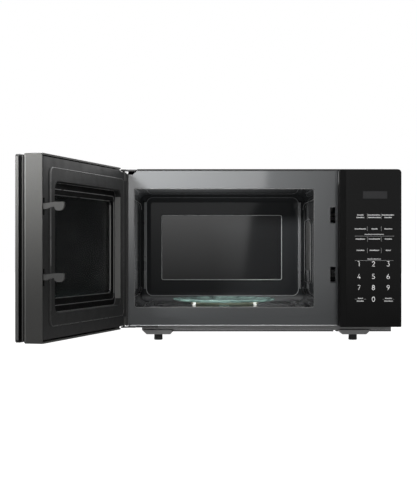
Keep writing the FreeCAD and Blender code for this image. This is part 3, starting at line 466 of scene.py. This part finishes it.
def make_screen_steel():
    """Black steel with a fine staggered field of round holes over the window."""
    finish = Finish("screen_steel", grey(0.018), 0.5, specular=0.03)
    place = finish.position()
    along = finish.math("ADD", finish.math("MULTIPLY", place["X"], math.cos(DOOR_OPEN)),
                        finish.math("MULTIPLY", place["Y"], math.sin(DOOR_OPEN)))
    column = finish.math("DIVIDE", along, HOLE_PITCH)
    row = finish.math("DIVIDE", place["Z"], HOLE_PITCH * ROW_PITCH)
    odd_row = finish.math("MODULO", finish.math("FLOOR", row), 2.0)
    column = finish.math("ADD", column, finish.math("MULTIPLY", odd_row, 0.5))
    u = finish.math("SUBTRACT", finish.math("FRACT", column), 0.5)
    v = finish.math("SUBTRACT", finish.math("FRACT", row), 0.5)
    u_square = finish.math("MULTIPLY", u, u)
    v_square = finish.math("MULTIPLY", finish.math("MULTIPLY", v, v), ROW_PITCH_SQUARED)
    radius = finish.math("SQRT", finish.math("ADD", u_square, v_square))
    hole = finish.remap(radius, HOLE_CORE, HOLE_EDGE, 1.0, 0.0)
    finish.set_colour(finish.mix_colour(hole, grey(0.0030), grey(0.0004)))
    finish.bump(finish.math("SUBTRACT", 1.0, hole), 0.00025)
    finish.vary_rough(finish.noise(25, 3), 0.05)
    return finish


def make_overlay():
    """The control panel's glossy black front."""
    finish = Finish("gloss_overlay", grey(0.0045), 0.12, specular=0.12)
    finish.vary_colour(finish.noise(5, 3), 0.85, 1.15)
    finish.vary_rough(finish.noise(35, 4), 0.03)
    finish.bump(finish.noise(60, 2), 0.000008)
    return finish


def make_plate_glass():
    """Green-tinged pressed glass, with a painted glow in patches on its facets that stands in for
    the light they catch.
    """
    finish = clear_finish("plate_glass", (0.66, 0.86, 0.81), 0.05, 0.85)
    finish.bump(finish.noise(60, 3), 0.0012)
    # Painted highlight: a faint glow in patches, standing in for light caught by the facets.
    finish.put("Emission Color", (0.47, 0.66, 0.61, 1))
    facets = finish.remap(finish.noise(70, 3), 0.42, 0.66, 0.0, 0.17)
    finish.feed(facets, "Emission Strength")
    return finish


def make_roller():
    """White plastic with a painted glow that stands in for the light reaching it through the plate.
    """
    finish = moulded("roller_moulding_painted_glow", (0.85, 0.85, 0.82), 0.4)
    # Painted glow: the light that reaches the rollers through the plate.
    finish.glow((1.0, 0.99, 0.95), 0.8)
    return finish


def make_mica():
    """Dark grey mica with upright streaks."""
    finish = Finish("mica_sheet", (0.060, 0.060, 0.059), 0.5)
    finish.vary_colour(finish.noise(120, 5, (1, 1, 0.25)), 0.7, 1.3)
    finish.vary_rough(finish.noise(80, 3), 0.1)
    finish.bump(finish.noise(300, 4), 0.00005)
    return finish


def make_smoked_window():
    """The smoked sheet over the display."""
    finish = Finish("smoked_window", (0.026, 0.026, 0.027), 0.2, specular=0.15)
    finish.vary_colour(finish.noise(60, 3), 0.9, 1.1)
    finish.vary_rough(finish.noise(40, 3), 0.04)
    finish.bump(finish.noise(90, 2), 0.000005)
    return finish


def make_black_glass():
    """The black outer glass of the door."""
    finish = Finish("black_glass", (0.008, 0.008, 0.0085), 0.07, coat=0.8, coat_rough=0.03)
    finish.vary_colour(finish.noise(4, 3), 0.8, 1.2)
    finish.vary_rough(finish.noise(30, 4), 0.025)
    finish.bump(finish.noise(25, 2), 0.000008)
    return finish


def make_sheet_and_metal():
    """Finishes of steel, aluminium, copper and painted sheet."""
    return {
        "wrap": powder_coat("wrap_powder", (0.020, 0.020, 0.021), rough=0.45),
        "zinc": bare_metal("galvanised_sheet", (0.42, 0.43, 0.44), rough=0.42, stretch=(1, 18, 1)),
        "base": smooth_paint("base_sheet", grey(0.25), rough=0.4, metallic=0.2),
        "aluminium": bare_metal("aluminium", (0.62, 0.62, 0.63), rough=0.33),
        "core": bare_metal("laminated_core", (0.16, 0.165, 0.18), rough=0.5,
                           stretch=(1, 120, 1), depth=0.0001),
        "copper": bare_metal("copper_winding", (0.50, 0.21, 0.10), rough=0.3,
                             stretch=(1, 1, 60), depth=0.0001),
        "steel": bare_metal("steel", (0.40, 0.40, 0.41), rough=0.3),
        "hinge": smooth_paint("hinge_paint", grey(0.020), rough=0.3, metallic=0.4),
        "front": make_front_enamel(),
        "cavity": make_cavity_with_painted_light(),
        "screen": make_screen_steel(),
    }


def make_plastics():
    """Finishes of moulded parts, rubber and boards."""
    return {
        "black": moulded("black_moulding", grey(0.020), rough=0.5),
        "frame": powder_coat("door_side_moulding", (0.062, 0.062, 0.060), rough=0.48,
                             grain=1100, depth=0.00025, specular=0.12),
        "cover": moulded("cover_moulding", grey(0.0185), rough=0.42,
                         grain=1800, depth=0.00001, specular=0.12),
        "white": moulded("white_moulding", (0.78, 0.78, 0.75), rough=0.42),
        "roller": make_roller(),
        "lever": moulded("grey_moulding", (0.034, 0.034, 0.033), rough=0.4, grain=1200),
        "ring": moulded("ring_moulding", (0.50, 0.42, 0.32), rough=0.35),
        "housing": moulded("housing_moulding", grey(0.0058), rough=0.55,
                           grain=700, depth=0.00001, specular=0.05),
        "grip": powder_coat("grip_moulding", grey(0.012), rough=0.4, grain=1500, specular=0.15),
        "plunger": moulded("plunger_moulding", (0.010, 0.006, 0.006), rough=0.6),
        "bracket": moulded("bracket_moulding", grey(0.003), rough=0.7, specular=0.03),
        "rubber": moulded("foot_rubber", grey(0.014), rough=0.75, grain=900, depth=0.0001),
        "board": moulded("circuit_board", (0.02, 0.09, 0.035), rough=0.35, grain=700, coat=0.3),
    }


def make_glass_and_mica():
    """Finishes of glass, clear and glossy sheet, and mica."""
    return {
        "mica": make_mica(),
        "smoked": make_smoked_window(),
        "black_glass": make_black_glass(),
        "lamp": clear_finish("lamp_glass", (0.98, 0.96, 0.9), rough=0.05, clarity=0.9),
        "film": clear_finish("clear_sheet", (0.9, 0.93, 0.93), rough=0.12, clarity=1.0, ior=1.12),
        "overlay": make_overlay(),
        "plate": make_plate_glass(),
    }


# The nodes that wear each finish.
WEARERS = {
    "wrap": ("outer_wrap",),
    "zinc": ("rear_panel", "waveguide", "magnetron_yoke", "magnetron_filter_box",
             "capacitor_clamp", "turntable_motor"),
    "base": ("base_plate",),
    "aluminium": ("magnetron_anode", "magnetron_antenna", "capacitor"),
    "core": ("transformer_core", "fan_motor"),
    "copper": ("transformer_windings", "filter_parts"),
    "steel": ("latch_spring", "case_screws"),
    "hinge": ("upper_hinge", "lower_hinge"),
    "front": ("front_plate",),
    "cavity": ("cavity_liner",),
    "screen": ("door_panel",),
    "black": ("rectifier_diode", "fan_shroud", "thermal_cutouts", "primary_switch",
              "monitor_switch", "secondary_switch", "display_module", "board_components",
              "cord_gland"),
    "frame": ("door_frame",),
    "cover": ("choke_cover",),
    "white": ("fan_blade", "lamp_holder", "drive_coupler", "pivot_bushes"),
    "roller": ("roller_1", "roller_2", "roller_3"),
    "lever": ("latch_lever",),
    "ring": ("roller_ring",),
    "housing": ("panel_housing",),
    "grip": ("door_grip",),
    "plunger": ("primary_plunger", "monitor_plunger", "secondary_plunger"),
    "bracket": ("interlock_bracket",),
    "rubber": ("feet",),
    "board": ("filter_board", "control_board"),
    "mica": ("waveguide_cover",),
    "smoked": ("display_window",),
    "black_glass": ("door_glass",),
    "lamp": ("cavity_lamp",),
    "film": ("door_inner_sheet",),
    "overlay": ("panel_overlay",),
    "plate": ("glass_plate",),
}


def make_materials():
    """Every CAD node gets its one finish."""
    finishes = {**make_sheet_and_metal(), **make_plastics(), **make_glass_and_mica()}
    for key, names in WEARERS.items():
        for name in names:
            slots = NODES[name].data.materials
            slots.clear()
            slots.append(finishes[key].material)


# ---------------------------------------------------------------- shapes

CORNER_STEPS = 8
ARC_STEPS = 20


def add_piece(name, mesh, finish, body="cabinet"):
    """A mesh that rides a body; door pieces are drawn with the door shut and swung open."""
    mesh.name = name
    mesh.materials.clear()
    mesh.materials.append(finish.material)
    piece = bpy.data.objects.new(name, mesh)
    SCENE.collection.objects.link(piece)
    if body == "door":
        mesh.transform(DOOR_TURN)
    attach(piece, body)
    return piece


def bead_mesh(lines, radius, closed=False):
    """Round beads of one radius along lists of points."""
    curve = bpy.data.curves.new("bead", "CURVE")
    curve.dimensions = "3D"
    curve.bevel_depth = radius
    curve.bevel_resolution = 3
    curve.use_fill_caps = not closed
    for points in lines:
        spline = curve.splines.new("POLY")
        spline.points.add(len(points) - 1)
        for target, point in zip(spline.points, points):
            target.co = (*point, 1)
        spline.use_cyclic_u = closed
    carrier = bpy.data.objects.new("bead", curve)
    mesh = bpy.data.meshes.new_from_object(carrier)
    bpy.data.objects.remove(carrier)
    bpy.data.curves.remove(curve)
    mesh.shade_smooth()
    return mesh


def bar(x, y, z):
    """A plain bar, from its (low, high) pair along each axis."""
    return tuple(zip(x, y, z))


def box_mesh(bars):
    """Plain bars as one mesh; each is (low corner, high corner)."""
    shape = bmesh.new()
    for low, high in bars:
        centre = (Vector(low) + Vector(high)) / 2
        size = Vector(high) - Vector(low)
        place = Matrix.Translation(centre) @ Matrix.Diagonal((*size, 1))
        bmesh.ops.create_cube(shape, size=1.0, matrix=place)
    mesh = bpy.data.meshes.new("bars")
    shape.to_mesh(mesh)
    shape.free()
    return mesh


def skin_mesh(outline, depth):
    """A thin plate: a flat outline facing the front, and the same outline set back."""
    shape = bmesh.new()
    front_ring = [shape.verts.new(point) for point in outline]
    back_ring = [shape.verts.new((x, y + depth, z)) for x, y, z in outline]
    shape.faces.new(front_ring)
    shape.faces.new(list(reversed(back_ring)))
    for index in range(len(outline)):
        following = (index + 1) % len(outline)
        shape.faces.new((front_ring[following], front_ring[index],
                         back_ring[index], back_ring[following]))
    bmesh.ops.recalc_face_normals(shape, faces=shape.faces)
    mesh = bpy.data.meshes.new("skin")
    shape.to_mesh(mesh)
    shape.free()
    return mesh


def upright(x, y, z):
    """The two ends of an upright line; z is its (low, high) pair."""
    return [(x, y, z[0]), (x, y, z[1])]


def rounded_outline(across, up, radius):
    """Corner points of a rounded rectangle, from its (low, high) pair along two axes."""
    points = []
    centres = [(across[1] - radius, up[1] - radius), (across[0] + radius, up[1] - radius),
               (across[0] + radius, up[0] + radius), (across[1] - radius, up[0] + radius)]
    for quarter, centre in enumerate(centres):
        for step in range(CORNER_STEPS + 1):
            angle = math.pi / 2 * (quarter + step / CORNER_STEPS)
            points.append((centre[0] + radius * math.cos(angle),
                           centre[1] + radius * math.sin(angle)))
    return points


def facing_outline(y, x, z, radius):
    """A rounded rectangle that faces the front, at the depth y."""
    return [(across, y, up) for across, up in rounded_outline(x, z, radius)]


def arc(x, z, radius, first, last, stretch=1.0):
    """Points along an arc, angles in degrees anticlockwise from the right."""
    points = []
    for step in range(ARC_STEPS + 1):
        angle = math.radians(first + (last - first) * step / ARC_STEPS)
        points.append((x + radius * math.cos(angle), z + radius * stretch * math.sin(angle)))
    return points


# ---------------------------------------------------------------- front of the cabinet

PLATE_FOLD_INSET, PLATE_FOLD_LIFT, PLATE_FOLD_END_X = 0.004, 0.0004, 0.1345

# The base pan's rim shows between the feet and right of them.
RIM_SPANS = ((-0.1420, 0.1300), (0.1920, 0.2272))
RIM_Z = (0.0156, 0.0176)
RIM_DEPTH = 0.0015


def make_opening_lip(finish):
    """The turned lip round the cavity's mouth, in light paint as a painted highlight."""
    outline = facing_outline(FRONT_Y, x=(-0.2036, 0.0958), z=(0.0569, 0.2546), radius=0.0045)
    add_piece("opening_lip", bead_mesh([outline], 0.00050, closed=True), finish)


def make_panel_side_highlight(finish):
    """A painted highlight: a thin light strip on the control panel's flank, above the upper slot.
    """
    strip = bar(x=(0.1350, 0.1354), y=(-0.1720, -0.1655), z=(0.2610, 0.2825))
    add_piece("panel_side_highlight", box_mesh([strip]), finish)


def make_plate_fold():
    """A painted highlight along the fold at the foot of the front plate."""
    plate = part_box("front_plate")
    z = plate[0].z + PLATE_FOLD_LIFT
    line = [(plate[0].x + PLATE_FOLD_INSET, FRONT_Y, z), (PLATE_FOLD_END_X, FRONT_Y, z)]
    finish = highlight_paint("plate_fold_highlight", (0.66, 0.67, 0.68), metallic=0.3, coat=0.2)
    add_piece("plate_fold", bead_mesh([line], 0.0006), finish)


def make_base_rim(finish):
    """The turned rim of the base pan, under the front plate, in near-black paint as a painted
    shade.
    """
    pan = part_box("base_plate")
    y = (pan[0].y, pan[0].y + RIM_DEPTH)
    rims = [bar(span, y, RIM_Z) for span in RIM_SPANS]
    add_piece("base_rim", box_mesh(rims), finish)


def make_wrap_hems(finish):
    """The wrap's dark front edges, beside the hinges and over the plate."""
    side = bar(x=(-0.2178, -0.2147), y=(-0.1540, -0.1505), z=(0.0262, 0.2795))
    add_piece("wrap_side_hem", box_mesh([side]), finish)
    top = bar(x=(-0.1985, 0.1350), y=(FRONT_Y - 0.0003, FRONT_Y + 0.0006), z=(0.2845, 0.2874))
    add_piece("wrap_top_hem", box_mesh([top]), finish)


def make_front_details(glint, soft_glint):
    """Edges and folds on the front of the cabinet: painted highlights on the lip, the panel's flank
    and the plate's fold, a painted shade on the base pan's rim, and the wrap's dark hems.
    """
    # Near-black powder: the wrap's own black on the hems, and a painted shade on the base pan's
    # rim.
    hem = powder_coat("hem_and_rim_shade_powder", grey(0.010), rough=0.6)
    make_opening_lip(soft_glint)
    make_panel_side_highlight(glint)
    make_plate_fold()
    make_base_rim(hem)
    make_wrap_hems(hem)


# ---------------------------------------------------------------- cavity

BACK_WALL_INSET = 0.0025
WALL_FOLD_OUT = 0.0015
# Where the painted highlight on the back wall's bead fades to darker towards the top.
BEAD_HIGHLIGHT_FADE_LOW, BEAD_HIGHLIGHT_FADE_HIGH = 0.236, 0.250

FIELD_Y = 0.1330
FIELD_SKIN_LIFT, FIELD_SKIN_DEPTH = 0.0001, 0.0003

# The folds along the walls: where they start, and how they turn near the back.
FOLD_START_Y = -0.145
SIDE_FOLD_X = (-0.2066, 0.0986)
SIDE_FOLD_TURNS = ((0.0725, 0.010), (0.2385, -0.010))
SIDE_FOLD_Y = (0.085, 0.112, 0.126)
SIDE_FOLD_BEND = 0.4
FLOOR_FOLD_X, FLOOR_FOLD_Z = (-0.190, 0.082), 0.0560
FLOOR_FOLD_Y = (0.100, 0.128)
FLOOR_FOLD_INWARD = 0.004

TRACK_X, TRACK_Y, TRACK_Z = -0.0517, -0.005, 0.0559
TRACK_RADIUS, TRACK_STEPS = 0.125, 72


def make_wall_bead_highlight():
    """Light paint for the painted highlight on the back wall's bead, darker towards the top of the
    back wall.
    """
    finish = highlight_paint("wall_bead_highlight", (0.21, 0.215, 0.22), metallic=0.3, coat=0.2)
    upper = finish.remap(finish.position()["Z"], BEAD_HIGHLIGHT_FADE_LOW, BEAD_HIGHLIGHT_FADE_HIGH, 0.0, 1.0)
    finish.set_colour(finish.mix_colour(upper, finish.colour, (0.085, 0.087, 0.088)))
    return finish


def make_back_wall():
    """The rounded corners of the back wall and the bead round it, drawn in light paint as painted
    highlights.
    """
    back_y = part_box("cavity_liner")[1].y - BACK_WALL_INSET
    folds = [upright(x, back_y - WALL_FOLD_OUT, (0.079, 0.243)) for x in (-0.2010, 0.0938)]
    finish = highlight_paint("wall_fold_highlight", (0.105, 0.107, 0.109), metallic=0.1, coat=0.1)
    add_piece("back_wall_folds", bead_mesh(folds, 0.0022), finish)
    outline = facing_outline(back_y, x=(-0.1979, 0.0908), z=(0.0659, 0.2522), radius=0.012)
    add_piece("back_wall_bead", bead_mesh([outline], 0.0007, closed=True),
              make_wall_bead_highlight())


def make_back_field(bead_highlight):
    """The raised field of the back wall: a glossy skin with a bead round it in light paint, a
    painted highlight.
    """
    skin = facing_outline(FIELD_Y - FIELD_SKIN_LIFT, x=(-0.1680, 0.0580), z=(0.0970, 0.2177),
                          radius=0.003)
    skin_finish = cavity_gloss("field_enamel", (0.006, 0.0063, 0.0066), 0.30)
    add_piece("back_field_skin", skin_mesh(skin, FIELD_SKIN_DEPTH), skin_finish)
    outline = facing_outline(FIELD_Y, x=(-0.1688, 0.0588), z=(0.0962, 0.2185), radius=0.003)
    add_piece("back_field_bead", bead_mesh([outline], 0.0006, closed=True), bead_highlight)


def make_mica_surround(finish):
    """The pressed line round the mica cover on the right wall, in light paint as a painted
    highlight.
    """
    wall_x = 0.0987
    outline = rounded_outline((-0.052, 0.085), (0.094, 0.207), 0.018)
    line = [(wall_x, y, z) for y, z in outline]
    add_piece("mica_surround", bead_mesh([line], 0.0005, closed=True), finish)


def side_fold(x, z, turn):
    """A fold along a side wall that turns up or down where it nears the back."""
    straight_y, bend_y, end_y = SIDE_FOLD_Y
    return [(x, FOLD_START_Y, z), (x, straight_y, z),
            (x, bend_y, z + turn * SIDE_FOLD_BEND), (x, end_y, z + turn)]


def floor_fold(x):
    """A fold along the floor that turns inwards where it nears the back."""
    straight_y, end_y = FLOOR_FOLD_Y
    inward = math.copysign(FLOOR_FOLD_INWARD, x)
    return [(x, FOLD_START_Y, FLOOR_FOLD_Z), (x, straight_y, FLOOR_FOLD_Z),
            (x - inward, end_y, FLOOR_FOLD_Z)]


def make_corner_folds(finish):
    """The pressed folds along the side walls and the floor, in light paint as painted highlights.
    """
    folds = [side_fold(x, z, turn) for x in SIDE_FOLD_X for z, turn in SIDE_FOLD_TURNS]
    folds += [floor_fold(x) for x in FLOOR_FOLD_X]
    add_piece("corner_folds", bead_mesh(folds, 0.0005), finish)


def make_floor_ring(finish):
    """The track pressed into the floor for the rollers, its edge in light paint as a painted
    highlight.
    """
    ring = []
    for step in range(TRACK_STEPS):
        angle = step * math.tau / TRACK_STEPS
        ring.append((TRACK_X + TRACK_RADIUS * math.cos(angle),
                     TRACK_Y + TRACK_RADIUS * math.sin(angle), TRACK_Z))
    add_piece("floor_ring", bead_mesh([ring], 0.0006, closed=True), finish)


def make_cavity_details(glint, soft_glint):
    """Folds, beads and the glossy field in the cavity; the folds and beads are painted highlights.
    """
    make_back_wall()
    make_back_field(glint)
    make_mica_surround(soft_glint)
    make_corner_folds(soft_glint)
    make_floor_ring(soft_glint)


# ---------------------------------------------------------------- door

COVER_Y = -0.1563
COVER_FIELD_X, COVER_FIELD_Z, COVER_FIELD_CORNER = (-0.2093, 0.1035), (0.0448, 0.2694), 0.009
GLINT_Z = (0.2000, 0.1300)
OUTER_STEP_Y, INNER_STEP_Y = -0.1662, -0.1700


def make_grip_details(edge_highlight):
    """The lip beside the grip's groove, the glass's edge, and the frame's corner as a bead in light
    paint, a painted highlight.
    """
    lip = bar(x=(0.1306, 0.1316), y=(-0.1874, -0.1859), z=(0.0245, 0.2855))
    lip_finish = moulded("lip_moulding", (0.034, 0.034, 0.033), rough=0.45)
    add_piece("grip_groove_lip", box_mesh([lip]), lip_finish, "door")
    band = bar(x=(0.1317, 0.13205), y=(-0.1970, -0.1926), z=(0.0265, 0.2840))
    band_finish = powder_coat("edge_band", (0.075, 0.075, 0.073), rough=0.48, grain=1100)
    add_piece("glass_edge_band", box_mesh([band]), band_finish, "door")
    corner = upright(0.1314, -0.1823, (0.0240, 0.2860))
    add_piece("frame_edge_bead", bead_mesh([corner], 0.0008), edge_highlight,
              "door")


def make_cover_field(glint_finish):
    """The line round the inner cover's raised field, in paint lighter than the cover as a painted
    highlight, and the painted glint on its free side.
    """
    field = facing_outline(COVER_Y, COVER_FIELD_X, COVER_FIELD_Z, COVER_FIELD_CORNER)
    # Painted highlight: the outline is lighter than the cover it sits on.
    field_highlight = moulded("field_bead", (0.045, 0.045, 0.044), rough=0.3)
    add_piece("door_field_bead", bead_mesh([field], 0.0009, closed=True), field_highlight,
              "door")
    edge_x, top_z = COVER_FIELD_X[1], COVER_FIELD_Z[1]
    glint = arc(edge_x - COVER_FIELD_CORNER, top_z - COVER_FIELD_CORNER,
                COVER_FIELD_CORNER, first=90, last=0)
    glint += [(edge_x, z) for z in GLINT_Z]
    glint_line = [(x, COVER_Y, z) for x, z in glint]
    add_piece("door_field_glint", bead_mesh([glint_line], 0.0011), glint_finish,
              "door")


def make_window_steps(rim_highlight, painted_light_finish):
    """The two steps down to the window, with painted light: the hinge-side wall and the lower
    ledges painted lighter as lit surfaces, and the rims and upright posts as painted highlights.
    """
    wall = bar(x=(-0.1956, -0.1951), y=(-0.1655, -0.1566), z=(0.0735, 0.2395))
    add_piece("window_side_wall", box_mesh([wall]), painted_light_finish, "door")
    ledges = [bar(x=(-0.1800, 0.0720), y=(-0.1655, -0.1568), z=(0.0623, 0.0628)),
              bar(x=(-0.1790, 0.0710), y=(INNER_STEP_Y, -0.1664), z=(0.0823, 0.0828))]
    lit_ledge_finish = moulded("window_ledge_painted_light", (0.036, 0.037, 0.036), rough=0.45)
    add_piece("window_lower_ledges", box_mesh(ledges), lit_ledge_finish, "door")
    rims = [facing_outline(OUTER_STEP_Y, x=(-0.1950, 0.0870), z=(0.0630, 0.2498), radius=0.010),
            facing_outline(OUTER_STEP_Y, x=(-0.1890, 0.0810), z=(0.0725, 0.2405), radius=0.008),
            facing_outline(INNER_STEP_Y, x=(-0.1832, 0.0752), z=(0.0825, 0.2328), radius=0.006)]
    add_piece("window_rims", bead_mesh(rims, 0.0007, closed=True), rim_highlight,
              "door")
    posts = [upright(-0.1885, OUTER_STEP_Y, (0.082, 0.231)),
             upright(-0.1828, INNER_STEP_Y, (0.089, 0.226))]
    add_piece("window_posts", bead_mesh(posts, 0.0013), painted_light_finish, "door")


def make_door_details(soft_glint):
    """Edges, lines and steps of the door, in light paints as painted highlights and painted light.
    """
    # Light paint for painted light on the recess wall and painted highlights on the posts and the
    # frame's corner.
    painted_light_finish = moulded("window_wall_painted_light", (0.130, 0.130, 0.126), rough=0.45)
    make_grip_details(painted_light_finish)
    make_cover_field(soft_glint)
    make_window_steps(soft_glint, painted_light_finish)


# ---------------------------------------------------------------- latch spring

SPRING_X, SPRING_Y = 0.1266, -0.1668
SPRING_LOW, SPRING_HIGH = 0.2336, 0.2494
SPRING_WIRE, SPRING_RADIUS, SPRING_TURNS = 0.00035, 0.0015, 8
STEPS_PER_TURN = 16


def make_latch_spring():
    """A wound coil for the latch spring."""
    steps = SPRING_TURNS * STEPS_PER_TURN
    length = SPRING_HIGH - SPRING_LOW - 2 * SPRING_WIRE
    points = []
    for step in range(steps + 1):
        angle = step * math.tau / STEPS_PER_TURN
        points.append((SPRING_X + SPRING_RADIUS * math.cos(angle),
                       SPRING_Y + SPRING_RADIUS * math.sin(angle),
                       SPRING_LOW + SPRING_WIRE + length * step / steps))
    finish = bare_metal("spring_wire", (0.45, 0.45, 0.46), rough=0.3)
    coil = bead_mesh([points], SPRING_WIRE)
    piece = add_piece("latch_spring_coil", coil, finish, "door")
    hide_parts("latch_spring")
    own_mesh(piece)


# ---------------------------------------------------------------- legend of the control panel

INK = 0.00008
INK_PAINTED_GLOW = 0.35

# Rows of uneven blocks stand in for captions; they spell nothing.
BLOCK_WIDTHS = (0.00115, 0.00085, 0.00130, 0.00100, 0.00090)
BLOCK_HEIGHTS = (0.00190, 0.00150, 0.00150, 0.00175, 0.00150)
BLOCK_GAP, BLOCK_DROP = 0.00042, 0.00085
HEIGHT_STRIDE = 3
HEADING_SCALE = 0.72

# Each caption row: its height, and the (low, high) ends of its words.
CAPTIONS = (
    (0.2099, ((0.1633, 0.1737), (0.1806, 0.2010), (0.2038, 0.2235))),
    (0.2058, ((0.1621, 0.1747), (0.1815, 0.2019), (0.2080, 0.2200))),
    (0.1871, ((0.1593, 0.1776), (0.1868, 0.1963), (0.2079, 0.2207))),
    (0.1706, ((0.1608, 0.1760), (0.1822, 0.2006), (0.2083, 0.2204))),
    (0.1521, ((0.1624, 0.1749), (0.1837, 0.1989), (0.2102, 0.2181))),
    (0.0734, ((0.1645, 0.1725), (0.2090, 0.2200))),
    (0.0690, ((0.1627, 0.1740), (0.2079, 0.2215))),
)

# Each heading and each level rule: its height and its ends.
HEADINGS = ((0.1783, 0.1755, 0.2071), (0.1379, 0.1803, 0.2020))
RULES = ((0.1753, 0.1593, 0.2238), (0.1354, 0.1593, 0.2226), (0.0721, 0.1593, 0.1625),
         (0.0721, 0.1745, 0.1776), (0.0721, 0.2050, 0.2077), (0.0721, 0.2217, 0.2238))
RULE_HALF = 0.0002

# The upright strokes between the keys.
SEPARATORS = (0.1799, 0.2027)
SEPARATOR_ENDS = ((0.2037, 0.2123), (0.1839, 0.1912), (0.1663, 0.1740), (0.1477, 0.1559))

DIGIT_HEIGHT, DIGIT_STROKE = 0.0082, 0.00037
DIGIT_COLUMNS = (0.1662, 0.1898, 0.2140)
DIGIT_ROWS = ((0.1299, "123"), (0.1094, "456"), (0.0911, "789"), (0.0720, " 0 "))

# Strokes of each digit in a box 0.6 wide and 1 high.
DIGIT_CENTRE = (0.30, 0.5)
DIGIT_STROKES = {
    "0": [arc(0.30, 0.50, 0.26, 0, 360, 1.77)],
    "1": [[(0.06, 0.96), (0.34, 0.96), (0.34, 0.04)]],
    "2": [arc(0.29, 0.71, 0.25, 165, -40) + [(0.05, 0.04), (0.56, 0.04)]],
    "3": [[(0.07, 0.96), (0.52, 0.96)] + arc(0.27, 0.31, 0.27, 82, -145)],
    "4": [[(0.38, 0.96), (0.03, 0.27), (0.60, 0.27)], [(0.44, 0.50), (0.44, 0.04)]],
    "5": [[(0.50, 0.96), (0.13, 0.96)] + arc(0.27, 0.31, 0.27, 125, -145)],
    "6": [arc(0.30, 0.30, 0.26, 0, 360), [(0.07, 0.42), (0.38, 0.96)]],
    "7": [[(0.04, 0.96), (0.55, 0.96), (0.20, 0.04)]],
    "8": [arc(0.30, 0.75, 0.20, 0, 360), arc(0.30, 0.29, 0.25, 0, 360)],
    "9": [arc(0.30, 0.70, 0.26, 0, 360), [(0.53, 0.58), (0.22, 0.04)]],
}


def make_ink(name, shade):
    """Matt printing ink of one grey level, with a faint painted glow so that it reads in the dark.
    """
    finish = Finish(name, grey(shade), 0.6)
    finish.vary_colour(finish.noise(900, 2), 0.85, 1.1)
    finish.vary_rough(finish.noise(300, 2), 0.1)
    finish.bump(finish.noise(2000, 2), 0.00001)
    finish.glow(grey(1), shade * INK_PAINTED_GLOW)
    return finish


def digit_lines(character, x, z):
    """The digit's strokes, centred on x and z, in the plane y = 0."""
    lines = []
    for stroke in DIGIT_STROKES[character]:
        lines.append([(x + (u - DIGIT_CENTRE[0]) * DIGIT_HEIGHT, 0.0,
                       z + (v - DIGIT_CENTRE[1]) * DIGIT_HEIGHT) for u, v in stroke])
    return lines


def make_digits(ink_y, finish):
    """The digits 0 to 9, as flattened beads on the overlay."""
    lines = []
    for z, row in DIGIT_ROWS:
        for x, character in zip(DIGIT_COLUMNS, row):
            if character != " ":
                lines += digit_lines(character, x, z)
    digits = bead_mesh(lines, DIGIT_STROKE)
    flat = Matrix.Diagonal((1, INK / DIGIT_STROKE, 1, 1))
    digits.transform(Matrix.Translation((0, ink_y, 0)) @ flat)
    add_piece("panel_digits", digits, finish)


def caption_blocks(ink, z, x_low, x_high, scale=1.0):
    """A row of blocks of uneven width and height, as long as the word it stands for."""
    blocks = []
    x, index = x_low, 0
    while x < x_high:
        width = min(BLOCK_WIDTHS[index % len(BLOCK_WIDTHS)] * scale, x_high - x)
        height = BLOCK_HEIGHTS[(index * HEIGHT_STRIDE) % len(BLOCK_HEIGHTS)] * scale
        base = z - BLOCK_DROP * scale
        blocks.append(bar((x, x + width), ink, (base, base + height)))
        x += width + BLOCK_GAP * scale
        index += 1
    return blocks


def make_captions(ink, finish):
    """The captions on the keys and the smaller headings over them."""
    blocks = []
    for z, words in CAPTIONS:
        for x_low, x_high in words:
            blocks += caption_blocks(ink, z, x_low, x_high)
    for z, x_low, x_high in HEADINGS:
        blocks += caption_blocks(ink, z, x_low, x_high, HEADING_SCALE)
    add_piece("panel_captions", box_mesh(blocks), finish)


def make_rules(ink, finish):
    """The fine lines that part the keys."""
    lines = [bar((x_low, x_high), ink, (z - RULE_HALF, z + RULE_HALF))
             for z, x_low, x_high in RULES]
    lines += [bar((x - RULE_HALF, x + RULE_HALF), ink, ends)
              for x in SEPARATORS for ends in SEPARATOR_ENDS]
    add_piece("panel_rules", box_mesh(lines), finish)


def make_legend():
    """The digits, captions and rules printed on the overlay."""
    ink_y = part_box("panel_overlay")[0].y
    ink = (ink_y - INK, ink_y + INK)
    make_digits(ink_y, make_ink("ink", 0.85))
    make_captions(ink, make_ink("caption_ink", 0.50))
    make_rules(ink, make_ink("faint_ink", 0.26))


def make_details():
    """All pieces beyond the CAD's nodes."""
    # Light paints for the beads that stand for painted highlights: a bright one for edges, a softer
    # one for folds.
    glint = highlight_paint("edge_highlight_paint", (0.34, 0.35, 0.35), metallic=0.3, coat=0.2)
    soft_glint = highlight_paint("fold_highlight_paint", grey(0.15), metallic=0.2, coat=0.2)
    make_front_details(glint, soft_glint)
    make_cavity_details(glint, soft_glint)
    make_door_details(soft_glint)
    make_latch_spring()
    make_legend()


# ---------------------------------------------------------------- build

make_camera()
make_world()
make_floor()
make_lights()
make_materials()
make_details()

SCENE.view_settings.view_transform = "Standard"
